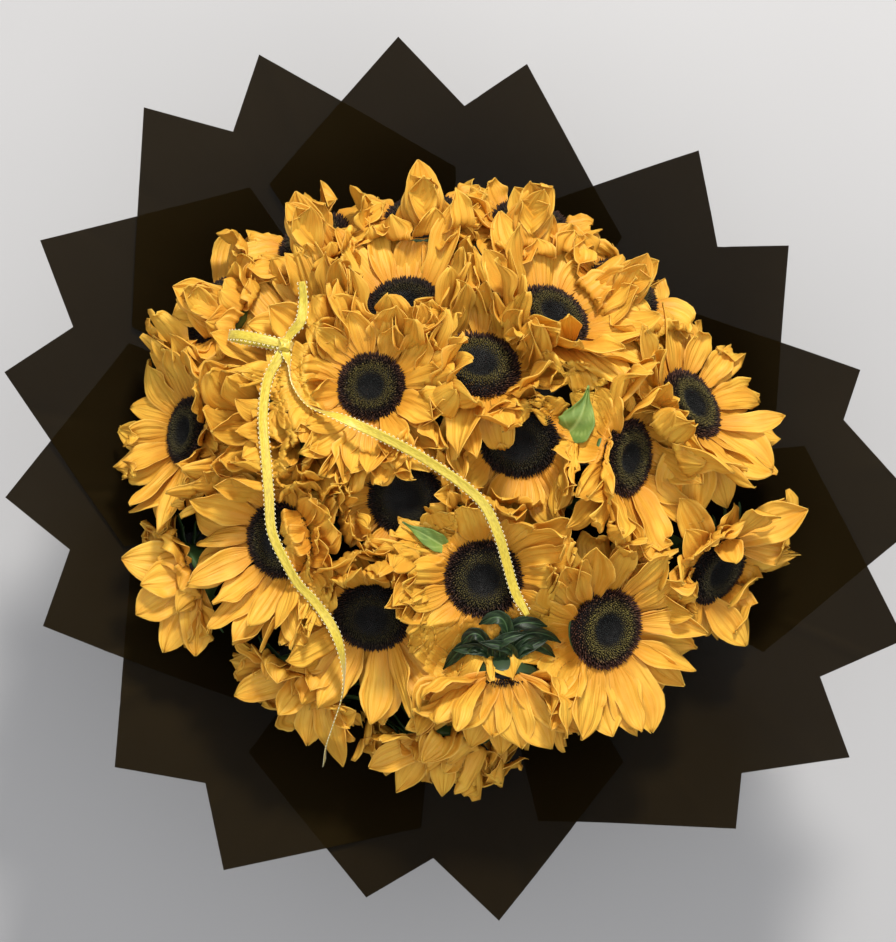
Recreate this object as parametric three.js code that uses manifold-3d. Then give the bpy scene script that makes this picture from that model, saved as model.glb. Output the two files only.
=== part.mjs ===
// A bunch of cut sunflowers, bound by hand in a spiral and wrapped in dark see-through film.
// Millimetres, +Z up. The bunch stands on its cut stem ends, so Z = 0 is the surface below it.
// Each bloom has a ring of petals and a disc of its own. Stems, calyx cups, bracts and leaves
// are one green body, because the stems are pressed together where they are bound.

import * as THREE from 'three';
import { mergeVertices } from 'three/addons/utils/BufferGeometryUtils.js';
import Module from 'manifold-3d';

const wasm = await Module();
wasm.setup();

// Driving dimensions ----------------------------------------------------------------------

const GAP = 0.3; // clearance between pieces that touch
const BLADE = 1.3; // thickness of a petal at its middle

const BLOOM_SIDES = 14; // flat sides of a disc and of the ring round it
const DISC_RADIUS = 24;
const DISC_DOME = 6; // how far the middle of a disc stands above its rim
const DISC_BASE = -3;
const RING_WIDTH = 3; // the yellow ring that carries the petals
const PETAL_LENGTH = 54;
const PETAL_WIDTH = 20;

const DOME_TOP = 450; // height of the highest disc
const DOME_ROUND = 656; // the blooms' surface falls by r * r / DOME_ROUND
const BINDING_HEIGHT = 170;
const BINDING_RADIUS = 25.5; // centres of the outermost stems where they are bound
const FOOT_RADIUS = 64; // centres of the outermost stems where they stand
const STEM_RADIUS = 4.3;
const STEM_SIDES = 5;

const NECK_RADIUS = 37; // the wrap where it is tied
const NECK_LENGTH = 16;
const FILM = 0.6; // thickness of a sheet of film
const FILM_STEP = 0.045; // how far a sheet climbs over the next one, for each degree
const SHEET_MARGIN = 25; // degrees that a sheet reaches past its outer corners
const SHEET_STEP = 15; // degrees between the folds, which all sheets share
const FILM_BUILD_UP = 2.3; // from the middle of the wrap's layers to the outermost face
const RIBBON_WIDTH = 10;
const RIBBON_THICKNESS = 0.8;

// Half section of the wrap, from its hem by the floor to its rim: radius, height.
const WRAP_SECTION = [
  [78, 5],
  [NECK_RADIUS, BINDING_HEIGHT - NECK_LENGTH / 2],
  [NECK_RADIUS, BINDING_HEIGHT + NECK_LENGTH / 2],
  [115, 245],
  [178, 292],
  [254, 337],
  [352, 366],
];

// The corners of the wrap's sheets, anticlockwise seen from above. at is the compass angle in
// degrees, reach the distance from the axis, ccw and cw the angles of the two cut edges.
const SHEETS = [
  [{ at: 34.8, reach: 290, ccw: 35, cw: 52 }, { at: 53.3, reach: 291, ccw: 37, cw: 49 }],
  [{ at: 80.1, reach: 299, ccw: 48, cw: 40 }, { at: 97.3, reach: 316, ccw: 50, cw: 38 }],
  [{ at: 114.8, reach: 330, ccw: 45, cw: 37 }, { at: 130, reach: 342, ccw: 45, cw: 36 }],
  [{ at: 150.2, reach: 338, ccw: 41, cw: 45 }, { at: 166.8, reach: 328, ccw: 44, cw: 48 }],
  [{ at: 182.5, reach: 319, ccw: 43, cw: 50 }, { at: 199.8, reach: 311, ccw: 43, cw: 52 }],
  [{ at: 220.4, reach: 317, ccw: 52, cw: 46 }, { at: 239.5, reach: 323, ccw: 49, cw: 44 }],
  [{ at: 258.1, reach: 305, ccw: 49, cw: 52 }, { at: 275.7, reach: 316, ccw: 46, cw: 42 }],
  [
    { at: 308.7, reach: 319, ccw: 46, cw: 50 },
    { at: 324.7, reach: 342, ccw: 36, cw: 45 },
    { at: 340.2, reach: 338, ccw: 45, cw: 45 },
  ],
  [{ at: 355.5, reach: 337, ccw: 45, cw: 45 }, { at: 374.9, reach: 299, ccw: 36, cw: 58 }],
];

// The blooms. at is the middle of the disc seen from above, compass and tilt say where the
// disc faces, lift moves it off the bunch's dome, over says how far it spreads over its
// neighbours, and open is 1 for a flat bloom and 0 for one that is still closed.
const BLOOMS = [
  { id: '01', at: [-56, 61], compass: 120, tilt: 12, lift: 5, over: 1.5, open: 0.9 },
  { id: '02', at: [16, 75], compass: 80, tilt: 25, lift: 0, over: 0, open: 0.7 },
  { id: '03', at: [-34, 128], compass: 100, tilt: 36, lift: 0, over: 0, open: 0.5 },
  { id: '04', at: [66, 109], compass: 55, tilt: 42, lift: 4, over: 1, open: 0.8 },
  { id: '05', at: [48, 23], compass: 270, tilt: 14, lift: -10, over: -1.5, open: 0.6 },
  { id: '06', at: [115, 14], compass: 352, tilt: 40, lift: 4, over: 0.8, open: 0.8 },
  { id: '07', at: [162, 50], compass: 34, tilt: 50, lift: 0, over: 0.8, open: 0.9 },
  { id: '08', at: [-33, -13], compass: 200, tilt: 14, lift: -6, over: -1, open: 0.6 },
  { id: '09', at: [19, -67], compass: 250, tilt: 8, lift: 2, over: 1, open: 0.8 },
  { id: '10', at: [102, -102], compass: 345, tilt: 30, lift: 8, over: 2, open: 1 },
  { id: '11', at: [-56, -93], compass: 260, tilt: 28, lift: -2, over: 0, open: 0.7 },
  { id: '12', at: [-126, -42], compass: 190, tilt: 44, lift: 4, over: 1, open: 0.8 },
  { id: '13', at: [-187, 33], compass: 170, tilt: 50, lift: 0, over: 1, open: 0.9 },
  { id: '14', at: [181, -63], compass: 326, tilt: 50, lift: 0, over: 0, open: 0.8 },
  { id: '15', at: [-112, 103], compass: 130, tilt: 42, lift: 0, over: -1, open: 0.6 },
  { id: '16', at: [34, -147], compass: 270, tilt: 72, lift: 0, over: 0.5, open: 0.7 },
  { id: '17', at: [122, 133], compass: 50, tilt: 50, lift: -6, over: -1.5, open: 0.8 },
  { id: '18', at: [-192, -71], compass: 200, tilt: 66, lift: -18, over: -2, open: 0.9 },
  { id: '19', at: [-107, -146], compass: 235, tilt: 62, lift: -12, over: -1, open: 0.7 },
  { id: '20', at: [-97, 164], compass: 120, tilt: 45, lift: 0, over: 0.5, open: 0.7 },
  { id: '21', at: [-21, 181], compass: 95, tilt: 50, lift: 0, over: 0, open: 0.7 },
  { id: '22', at: [52, 175], compass: 75, tilt: 45, lift: 0, over: 0, open: 0.7 },
  { id: '23', at: [-10, -190], compass: 265, tilt: 68, lift: -16, over: -1, open: 0.7 },
  { id: '24', at: [-166, 116], compass: 145, tilt: 55, lift: 0, over: 0, open: 0.8 },
  { id: '25', at: [-112, 36], compass: 160, tilt: 18, lift: -4, over: -1, open: 0.15 },
];

// Blooms whose petals are tangled into one body at the far edge of the bunch.
const TANGLED = ['20', '21', '22'];

// Leaves that show between the blooms. Each grows from the calyx cup of a bloom: the compass
// angle that it leaves at, how far its tip lies from the bloom's axis, and over its rim.
const LEAVES = [
  { bloom: '05', compass: 38, width: 22, reach: 56, rise: 24 },
  { bloom: '08', compass: -57, width: 15, reach: 40, rise: 12 },
];

// The ribbon's two tails and the short end, from the knot: x, y and height over the dome.
const KNOT = [-114, 89, 30];
const LEFT_TAIL = [
  [-119, 78, 31],
  [-125, 66, 30],
  [-128, 42, 29],
  [-126, 14, 28],
  [-124, -10, 27],
  [-122, -36, 26],
  [-114, -54, 26],
  [-105, -70, 25],
  [-94, -82, 24],
  [-81, -101, 25],
  [-75, -122, 27],
  [-77, -146, 27],
  [-84, -166, 24],
  [-88, -182, 18],
];
const RIGHT_TAIL = [
  [-111, 76, 31],
  [-108, 62, 31],
  [-97, 48, 31],
  [-76, 40, 31],
  [-45, 26, 30],
  [-14, 9, 29],
  [17, -15, 28],
  [28, -36, 25],
  [34, -56, 21],
  [40, -76, 20],
  [48, -91, 22],
];
const SHORT_END = [
  [-110, 96, 32],
  [-103, 104, 36],
  [-101, 118, 40],
  [-102, 131, 45],
];
const SMALL_LOOP = [
  [-119, 91, 32],
  [-132, 95, 36],
  [-147, 96, 39],
  [-153, 91, 38],
  [-147, 86, 35],
  [-132, 86, 32],
  [-119, 87, 30],
];
const LOOP_MIDDLE = [-136, 91, 35];

// Small tools -----------------------------------------------------------------------------

const UP = new THREE.Vector3(0, 0, 1);
const SAME_POINT = 1e-3; // points nearer than this are one

function seeded(seed) {
  let state = seed;
  return () => {
    state = (state * 1664525 + 1013904223) % 4294967296;
    return state / 4294967296;
  };
}

function between(random, low, high) {
  return low + (high - low) * random();
}

function onCircle(radius, degrees, height = 0) {
  const angle = THREE.MathUtils.degToRad(degrees);
  return new THREE.Vector3(radius * Math.cos(angle), radius * Math.sin(angle), height);
}

function flatPoint(radius, degrees) {
  const point = onCircle(radius, degrees);
  return new THREE.Vector2(point.x, point.y);
}

function domeHeight(x, y) {
  return DOME_TOP - (x * x + y * y) / DOME_ROUND;
}

function toSolid(geometry) {
  const bare = geometry.clone();
  bare.deleteAttribute('normal');
  bare.deleteAttribute('uv');
  const merged = mergeVertices(bare, SAME_POINT);
  return new wasm.Manifold(new wasm.Mesh({
    numProp: 3,
    vertProperties: Float32Array.from(merged.attributes.position.array),
    triVerts: Uint32Array.from(merged.index.array),
  }));
}

function toGeometry(solid) {
  const mesh = solid.getMesh();
  const geometry = new THREE.BufferGeometry();
  geometry.setAttribute('position', new THREE.BufferAttribute(mesh.vertProperties, 3));
  geometry.setIndex(new THREE.BufferAttribute(mesh.triVerts, 1));
  geometry.computeVertexNormals();
  return geometry;
}

function fuse(solids) {
  return solids.reduce((whole, solid) => whole.add(solid));
}

function largestBody(solid) {
  return solid.decompose().reduce((best, body) => (body.volume() > best.volume() ? body : best));
}

// Moves every point of a geometry by a function of the point.
function reshape(geometry, move) {
  const position = geometry.attributes.position;
  const point = new THREE.Vector3();
  for (let i = 0; i < position.count; i += 1) {
    point.fromBufferAttribute(position, i);
    const moved = move(point);
    position.setXYZ(i, moved.x, moved.y, moved.z);
  }
  return geometry;
}

// The lathe turns round Y. This stands it up, so that a profile is given as radius, height.
function turned(profile, sides) {
  const points = profile.map(([radius, height]) => new THREE.Vector2(radius, height));
  return new THREE.LatheGeometry(points, sides).rotateX(Math.PI / 2);
}

// The angle of a turned point from the lathe's seam, so that both ends of the seam agree.
function fromSeam(point) {
  return Math.atan2(point.x, -point.y);
}

// Places for the blooms -------------------------------------------------------------------

const SEAT_DEPTH = 2.6; // petals stay above this depth under the rim of their disc
const NEIGHBOUR_REACH = 150;
const LEAN_STEP = THREE.MathUtils.degToRad(16);
const LEAN_MOST = THREE.MathUtils.degToRad(34);

function placeBloom(entry) {
  const [x, y] = entry.at;
  const axis = onCircle(Math.sin(THREE.MathUtils.degToRad(entry.tilt)), entry.compass);
  axis.z = Math.cos(THREE.MathUtils.degToRad(entry.tilt));
  const centre = new THREE.Vector3(x, y, domeHeight(x, y) + entry.lift);
  const across = new THREE.Vector3().crossVectors(UP, axis).normalize();
  const along = new THREE.Vector3().crossVectors(axis, across);
  const frame = new THREE.Matrix4().makeBasis(across, along, axis).setPosition(centre);
  const seat = { normal: axis.clone().negate(), offset: SEAT_DEPTH - axis.dot(centre) };
  return { ...entry, centre, axis, across, along, frame, seat, cell: [] };
}

// A flat wall between two blooms, leaning so that the bloom that lies over the other spreads.
function addWalls(first, second) {
  const apart = second.centre.clone().sub(first.centre);
  if (apart.length() > NEIGHBOUR_REACH) {
    return;
  }
  const outward = first.axis.clone().add(second.axis).normalize();
  const lean = THREE.MathUtils.clamp((first.over - second.over) * LEAN_STEP, -LEAN_MOST, LEAN_MOST);
  const flat = apart.addScaledVector(outward, -apart.dot(outward)).normalize();
  const normal = flat.multiplyScalar(Math.cos(lean)).addScaledVector(outward, -Math.sin(lean));
  const middle = first.centre.clone().add(second.centre).multiplyScalar(0.5);
  const offset = normal.dot(middle);
  first.cell.push({ normal: normal.clone(), offset: offset - GAP });
  second.cell.push({ normal: normal.clone().negate(), offset: -offset - GAP });
}

const blooms = BLOOMS.map(placeBloom);
const nodeOf = (bloom) => (TANGLED.includes(bloom.id) ? TANGLED.join('_') : bloom.id);

blooms.forEach((first, i) => {
  blooms.slice(i + 1).filter((second) => nodeOf(second) !== nodeOf(first))
    .forEach((second) => addWalls(first, second));
});

// Petals ----------------------------------------------------------------------------------

// Where a petal's outline has its points, and its share of the full width at each.
const LONG_OUTLINE = [[0.34, 0.9], [0.72, 0.92], [1, 0]];
const SHORT_OUTLINE = [[0.5, 1], [1, 0]];
const STRIDES = 12; // steps in which a petal's middle line is grown
const NARROWING_ROUNDS = 12;
const LATHE_SEAM = -90; // compass angle of a turned form's first corner
const FILM_CLEARANCE = 6;
const ROOT_UP = 1; // the middle of a petal's root over the bottom of the ring
const RING_TOP = -0.8;
const OUTER_ROW = {
  rise: 6, closing: 30, long: 1, wide: 1.3, margin: 1.5, share: 0.15, channel: 3.4,
  outline: LONG_OUTLINE,
};
const INNER_ROW = {
  rise: 40, closing: 26, long: 0.86, wide: 1.1, margin: 9, share: 0.6, channel: 2.5,
  outline: SHORT_OUTLINE,
};

function wrapHeight(radius) {
  const outer = WRAP_SECTION.findIndex(([reach, height]) => reach > radius && height > BINDING_HEIGHT);
  if (outer < 1) {
    return WRAP_SECTION.at(-1)[1];
  }
  const [r0, z0] = WRAP_SECTION[outer - 1];
  const [r1, z1] = WRAP_SECTION[outer];
  return z0 + ((z1 - z0) * (radius - r0)) / (r1 - r0);
}

// Grows the middle line of a petal. Where it would pass a wall it turns along it and up. It
// keeps a margin to the wall, which is less where the wall is near its root.
function growLine(bloom, root, heading, petal) {
  const limits = bloom.cell.map(({ normal, offset }) => {
    const room = Math.max(0, offset - normal.dot(root));
    return { normal, limit: offset - Math.min(petal.margin, room * petal.share) };
  });
  const line = [root.clone()];
  const stride = petal.length / STRIDES;
  const direction = heading.clone();
  for (let i = 0; i < STRIDES; i += 1) {
    direction.addScaledVector(bloom.axis, petal.curl / STRIDES).normalize();
    const next = line[i].clone().addScaledVector(direction, stride);
    limits.forEach(({ normal, limit }) => {
      const past = normal.dot(next) - limit;
      if (past > 0) {
        next.addScaledVector(normal, -past).addScaledVector(bloom.axis, past);
      }
    });
    const floor = wrapHeight(Math.hypot(next.x, next.y)) + FILM_CLEARANCE;
    next.z = Math.max(next.z, floor);
    direction.copy(next).sub(line[i]).normalize();
    line.push(line[i].clone().addScaledVector(direction, stride));
  }
  return line;
}

// How far a cross section has to move to lie inside the given walls.
function moveInside(walls, corners) {
  const move = new THREE.Vector3();
  walls.forEach(({ normal, offset }) => {
    const furthest = Math.max(...corners.map((corner) => normal.dot(corner)));
    const past = furthest + normal.dot(move) - offset;
    move.addScaledVector(normal, -Math.max(0, past));
  });
  return move;
}

// The cross sections of a petal are lozenges: two edges, and a sunken middle that has the
// thickness. Their corners go round from the clockwise edge over the top. The last is a point.
// At a wall a petal turns its face to the wall.
function petalSections(bloom, petal) {
  const angle = THREE.MathUtils.degToRad(petal.compass);
  const radial = bloom.across.clone().multiplyScalar(Math.cos(angle))
    .addScaledVector(bloom.along, Math.sin(angle));
  const sideways = new THREE.Vector3().crossVectors(bloom.axis, radial);
  const root = bloom.centre.clone().addScaledVector(radial, DISC_RADIUS + RING_WIDTH)
    .addScaledVector(bloom.axis, DISC_BASE + ROOT_UP);
  const heading = radial.clone().multiplyScalar(Math.cos(petal.rise))
    .addScaledVector(bloom.axis, Math.sin(petal.rise));
  const line = growLine(bloom, root, heading, petal);
  return petal.outline.map(([share, breadth]) => {
    const step = Math.round(share * STRIDES);
    const before = line[step - 1];
    const forward = line[Math.min(STRIDES, step + 1)].clone().sub(before).normalize();
    const across = sideways.clone().addScaledVector(forward, -forward.dot(sideways)).normalize()
      .applyAxisAngle(forward, petal.roll * share);
    bloom.cell.forEach(({ normal, offset }) => {
      const off = (offset - normal.dot(line[step])) / (petal.width / 2);
      const laid = 1 - THREE.MathUtils.clamp(off, 0, 1);
      across.addScaledVector(normal, -laid * across.dot(normal));
    });
    across.addScaledVector(forward, -forward.dot(across)).normalize();
    const face = new THREE.Vector3().crossVectors(forward, across);
    const middle = line[step].clone()
      .addScaledVector(face, -petal.channel * Math.sin(Math.PI * share));
    const corners = breadth === 0 ? [line[step].clone()] : [
      line[step].clone().addScaledVector(across, (-petal.width * breadth) / 2),
      middle.clone().addScaledVector(face, BLADE / 2),
      line[step].clone().addScaledVector(across, (petal.width * breadth) / 2),
      middle.clone().addScaledVector(face, -BLADE / 2),
    ];
    const move = moveInside([bloom.seat, ...bloom.cell], corners);
    return corners.map((corner) => corner.add(move));
  });
}

// Faces between a petal's root on the ring and its first section, from there to its tip.
// rootCorners are the ring's outer corners: clockwise low, the other low, then both high.
// The upper and the lower side are split into triangles alike, so that they never cross.
function petalFaces(rootCorners, sections) {
  const [a, b, c, d] = rootCorners;
  const [w, t, e, under] = sections[0];
  const faces = [
    [a, b, under], [a, under, w], [a, w, d], [d, w, t],
    [d, t, c], [c, t, e], [b, c, e], [b, e, under],
  ];
  for (let k = 1; k < sections.length; k += 1) {
    const from = sections[k - 1];
    const to = sections[k];
    from.forEach((corner, j) => {
      const next = from[(j + 1) % 4];
      if (to.length === 1) {
        faces.push([corner, to[0], next]);
        return;
      }
      const [near, far] = [to[j], to[(j + 1) % 4]];
      if (j < 2) {
        faces.push([corner, near, far], [corner, far, next]);
      } else {
        faces.push([corner, near, next], [near, far, next]);
      }
    });
  }
  return faces;
}

function facesToSolid(faces) {
  const geometry = new THREE.BufferGeometry().setFromPoints(faces.flat());
  return toSolid(geometry);
}

// The petals of a bloom stand in two rows, an outer one that spreads and an inner one, each
// petal on a flat side of the ring.
function petalPlans(bloom) {
  const random = seeded(Number(bloom.id) * 7919);
  const side = 360 / BLOOM_SIDES;
  const closed = 1 - bloom.open;
  return Array.from({ length: BLOOM_SIDES }, (_, k) => {
    const row = k % 2 === 0 ? OUTER_ROW : INNER_ROW;
    return {
      ...row,
      compass: LATHE_SEAM + side * (k + 0.5 + between(random, -0.08, 0.08)),
      rise: THREE.MathUtils.degToRad(row.rise + row.closing * closed + between(random, -7, 7)),
      length: PETAL_LENGTH * row.long * between(random, 0.92, 1.06),
      width: PETAL_WIDTH * row.wide * between(random, 0.9, 1.1),
      curl: between(random, -0.5, 0.5) + 0.9 * closed,
      roll: between(random, -0.4, 0.4),
    };
  });
}

// The corners of the ring's section at one of its edges: inner low and high, outer high, low.
function ringCorners(bloom, k) {
  const degrees = LATHE_SEAM + (360 / BLOOM_SIDES) * k;
  const section = [
    [DISC_RADIUS + GAP, DISC_BASE],
    [DISC_RADIUS + GAP, RING_TOP],
    [DISC_RADIUS + RING_WIDTH, RING_TOP],
    [DISC_RADIUS + RING_WIDTH, DISC_BASE],
  ];
  return section.map(([radius, height]) => (
    onCircle(radius, degrees, height).applyMatrix4(bloom.frame)));
}

function overlaps(a, b) {
  return a.intersect(b).volume() > 0;
}

// Whether the edge between two points passes through a triangle.
function pierces(from, to, [a, b, c]) {
  const length = from.distanceTo(to);
  const ray = new THREE.Ray(from, to.clone().sub(from).divideScalar(length));
  const hit = ray.intersectTriangle(a, b, c, false, new THREE.Vector3());
  const way = hit ? hit.distanceTo(from) : 0;
  return way > SAME_POINT && way < length - SAME_POINT;
}

function crossesItself({ faces, cap }) {
  const all = [...faces, ...cap];
  const through = (one, other) => (
    one.some((corner, k) => pierces(corner, one[(k + 1) % 3], other)));
  return all.some((first, i) => all.slice(i + 1).some((second) => {
    const apart = first.filter((corner) => second.includes(corner)).length < 2;
    return apart && (through(first, second) || through(second, first));
  }));
}

// Petals that cross are made narrower and flatter. Those that still do are left out, and the
// ring is plain there.
function clearPetals(bloom, rootsOf) {
  const plans = petalPlans(bloom);
  const build = (plan, k) => {
    const [a, b, c, d] = rootsOf(k);
    const faces = petalFaces([a, b, c, d], petalSections(bloom, plan));
    const cap = [[a, c, b], [a, d, c]];
    return { faces, cap, solid: facesToSolid([...faces, ...cap]) };
  };
  const petals = plans.map(build);
  for (let round = 0; round < NARROWING_ROUNDS; round += 1) {
    const crossed = new Set();
    petals.forEach((first, i) => {
      if (crossesItself(first)) {
        crossed.add(i);
      }
      petals.slice(i + 1).forEach((second, j) => {
        if (overlaps(first.solid, second.solid)) {
          crossed.add(i).add(i + 1 + j);
        }
      });
    });
    if (crossed.size === 0) {
      break;
    }
    crossed.forEach((k) => {
      plans[k].width *= 0.94;
      plans[k].length *= 0.98;
      plans[k].roll *= 0.6;
      plans[k].channel *= 0.9;
      petals[k] = build(plans[k], k);
    });
  }
  const kept = [];
  return petals.map((petal) => {
    const crosses = kept.some((other) => overlaps(other.solid, petal.solid));
    if (crosses || crossesItself(petal)) {
      return { faces: petal.cap.map(([a, b, c]) => [a, c, b]) };
    }
    kept.push(petal);
    return petal;
  });
}

// One body: the ring, with a petal grown out of each flat side.
function bloomPetals(bloom) {
  const ring = Array.from({ length: BLOOM_SIDES }, (_, k) => ringCorners(bloom, k));
  const next = (k) => ring[(k + 1) % BLOOM_SIDES];
  const rootsOf = (k) => [ring[k][3], next(k)[3], next(k)[2], ring[k][2]];
  const faces = clearPetals(bloom, rootsOf).flatMap((petal) => petal.faces);
  ring.forEach(([innerLow, innerHigh, outerHigh, outerLow], k) => {
    const [lowOn, highOn, outerHighOn, outerLowOn] = next(k);
    faces.push([innerHigh, outerHigh, outerHighOn], [innerHigh, outerHighOn, highOn]);
    faces.push([innerLow, lowOn, outerLowOn], [innerLow, outerLowOn, outerLow]);
    faces.push([innerLow, innerHigh, highOn], [innerLow, highOn, lowOn]);
  });
  return facesToSolid(faces);
}

// Discs -----------------------------------------------------------------------------------

const FLORET_RELIEF = 0.9;
const SHOWS_DISC = 0.2; // a bloom that is less open than this hides its disc

// A low dome with a sunken middle. Its points stand in and out in turn, as the florets do.
function discSolid(bloom) {
  const dome = turned([
    [0, DISC_BASE],
    [DISC_RADIUS - 1, DISC_BASE],
    [DISC_RADIUS, 1],
    [DISC_RADIUS * 0.62, DISC_DOME - 1],
    [0, DISC_DOME - 2],
  ], BLOOM_SIDES);
  const relief = reshape(dome, (point) => {
    const radius = Math.hypot(point.x, point.y);
    const ring = Math.round(radius / (DISC_RADIUS * 0.3));
    const turn = fromSeam(point) * (BLOOM_SIDES / 2) + ring * Math.PI;
    const bump = point.z > 0 && radius > 1 ? FLORET_RELIEF * Math.cos(turn) : 0;
    return point.setZ(point.z + bump);
  });
  return toSolid(relief.applyMatrix4(bloom.frame));
}

// Stems, calyx cups and leaves ------------------------------------------------------------

const CALYX_TOP = DISC_BASE - GAP;
const LEAF_ROOT = 14; // how far out and down a leaf's root lies inside the cup
const LEAF_WIDTHS = [0.25, 0.9, 1, 0];
const LEAF_THICKNESS = 0.7;
const LEAF_BEND = 5;
const BUNDLE_HEIGHT = 12;
const BUNDLE_SIDES = 9;
const CALYX_SIDES = 10;
const CALYX_DEPTH = 22;
const BRACT_REACH = 15;
const SPIRAL = 70; // degrees that a stem turns between its foot and its bloom
const STEM_TOP = 12; // how deep in the cup a stem ends
const STEM_NECK = 42; // how far under the cup's top a stem begins to bend inwards
const SPREAD_HEIGHT = 45; // over the binding, where the stems have begun to spread
const SPREAD = 1.5;
const SPREAD_TURN = 0.12; // share of the spiral's turn reached there
const FOOT_CUT = 8; // stems are made this much too long and cut off level with the floor
const GOLDEN_ANGLE = 137.508;
const PLACE_CHOICE = 5; // a stem takes the best of this many places nearest the middle

// The rim of the cup is drawn out into pointed bracts, every second point of it.
function calyxSolid(bloom) {
  const rim = DISC_RADIUS + 3;
  const cup = turned([
    [0, CALYX_TOP - CALYX_DEPTH],
    [rim, CALYX_TOP - 1],
    [0, CALYX_TOP],
  ], CALYX_SIDES);
  const star = reshape(cup, (point) => {
    const radius = Math.hypot(point.x, point.y);
    const turn = Math.round((fromSeam(point) * CALYX_SIDES) / (2 * Math.PI));
    if (Math.abs(radius - rim) > 0.01 || turn % 2 !== 0) {
      return point;
    }
    const stretch = (rim + BRACT_REACH) / rim;
    const tip = new THREE.Vector3(point.x * stretch, point.y * stretch, point.z - 6);
    const placed = tip.clone().applyMatrix4(bloom.frame);
    return placed.add(moveInside(bloom.cell, [placed])).applyMatrix4(bloom.frame.clone().invert());
  });
  return toSolid(star.applyMatrix4(bloom.frame));
}

// Stems are ordered so that each keeps its own place round the binding.
function stemPlaces() {
  const order = blooms.map((bloom) => ({
    bloom,
    radius: Math.hypot(bloom.centre.x, bloom.centre.y),
    angle: THREE.MathUtils.radToDeg(Math.atan2(bloom.centre.y, bloom.centre.x)),
  }));
  order.sort((a, b) => a.radius - b.radius);
  const free = order.map((_, k) => ({
    share: Math.sqrt((k + 0.5) / order.length),
    angle: (k * GOLDEN_ANGLE) % 360,
  }));
  return order.map(({ bloom, angle }) => {
    const turnTo = (place) => Math.abs(((place.angle - angle + 900) % 360) - 180);
    const best = free.slice(0, PLACE_CHOICE).reduce((a, b) => (turnTo(b) < turnTo(a) ? b : a));
    free.splice(free.indexOf(best), 1);
    return { bloom, share: best.share, angle: best.angle };
  });
}

// A curve whose equal steps fall on its own points, so that a stem bends where it is bound.
class SteppedCurve extends THREE.CatmullRomCurve3 {
  getPointAt(share, target) {
    return this.getPoint(share, target);
  }

  getTangentAt(share, target) {
    return this.getTangent(share, target);
  }
}

function stemSolid({ bloom, share, angle }) {
  const top = bloom.centre.clone().addScaledVector(bloom.axis, CALYX_TOP - STEM_TOP);
  const neck = bloom.centre.clone().addScaledVector(bloom.axis, CALYX_TOP - STEM_NECK);
  const radius = BINDING_RADIUS * share;
  const spread = onCircle(
    radius * SPREAD,
    angle + SPIRAL * SPREAD_TURN,
    BINDING_HEIGHT + SPREAD_HEIGHT,
  );
  const bound = onCircle(radius, angle, BINDING_HEIGHT);
  const foot = onCircle(FOOT_RADIUS * share, angle - SPIRAL / 2, -FOOT_CUT);
  const places = [top, neck, spread, bound, foot];
  const route = new SteppedCurve(places, false, 'centripetal');
  const section = new THREE.Shape(Array.from({ length: STEM_SIDES }, (_, k) => (
    flatPoint(STEM_RADIUS, (360 / STEM_SIDES) * k))));
  const steps = places.length - 1;
  return toSolid(new THREE.ExtrudeGeometry(section, { steps, extrudePath: route }));
}

function floorBlock() {
  const side = 3 * FOOT_RADIUS;
  return toSolid(new THREE.BoxGeometry(side, side, side).translate(0, 0, -side / 2));
}

// A leaf is a four-sided cone, flattened and bent, from a calyx cup up between the blooms.
// Spare makes it larger all round, for the room that the petals leave it.
function leafSolid({ bloom: id, compass, width, reach, rise }, spare = 0) {
  const { centre, axis } = blooms.find((bloom) => bloom.id === id);
  const out = onCircle(1, compass);
  out.addScaledVector(axis, -out.dot(axis)).normalize();
  const sideways = new THREE.Vector3().crossVectors(out, axis);
  const root = centre.clone().addScaledVector(out, LEAF_ROOT).addScaledVector(axis, -LEAF_ROOT);
  const tip = centre.clone().addScaledVector(out, reach + spare).addScaledVector(axis, rise + spare);
  const forward = tip.clone().sub(root).normalize();
  const face = new THREE.Vector3().crossVectors(sideways, forward);
  const last = LEAF_WIDTHS.length - 1;
  return toSolid(reshape(new THREE.ConeGeometry(1, 1, 4, last), (point) => {
    const share = point.y + 0.5;
    const breadth = LEAF_WIDTHS[Math.round(share * last)] * (width / 2 + 2 * spare);
    const across = share < 1 ? (point.x / (1 - share)) * breadth : 0;
    const thick = share < 1 ? (point.z / (1 - share)) * (LEAF_THICKNESS + spare) : 0;
    return root.clone().lerp(tip, share).addScaledVector(sideways, across)
      .addScaledVector(face, thick + LEAF_BEND * share * share);
  }));
}

// Under the string the stems are pressed into one bundle.
function bundleSolid() {
  const corners = Array.from({ length: BUNDLE_SIDES }, (_, k) => (
    flatPoint(BINDING_RADIUS, (360 / BUNDLE_SIDES) * k)));
  const bundle = new THREE.ExtrudeGeometry(new THREE.Shape(corners), {
    depth: BUNDLE_HEIGHT,
    bevelEnabled: false,
  });
  return toSolid(bundle.translate(0, 0, BINDING_HEIGHT - BUNDLE_HEIGHT / 2));
}

function greenSolid() {
  const stems = stemPlaces().map(stemSolid);
  const leaves = LEAVES.map((leaf) => leafSolid(leaf));
  const calyxes = blooms.map(calyxSolid);
  return fuse([bundleSolid(), ...stems, ...calyxes, ...leaves]).subtract(floorBlock());
}

// Ties ------------------------------------------------------------------------------------

const STRING_INSIDE = BINDING_RADIUS + STEM_RADIUS + 1.6; // clear of the stems' bends
const STRING_THICKNESS = 2.75;
const STRING_HEIGHT = 14;
const TIE_SIDES = 18;
const TIE_WIDTH = 15; // satin ribbon round the wrap, with a bow to the front
const TIE_THICKNESS = 1;
const TIE_INSIDE = NECK_RADIUS + FILM_BUILD_UP + GAP;

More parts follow.
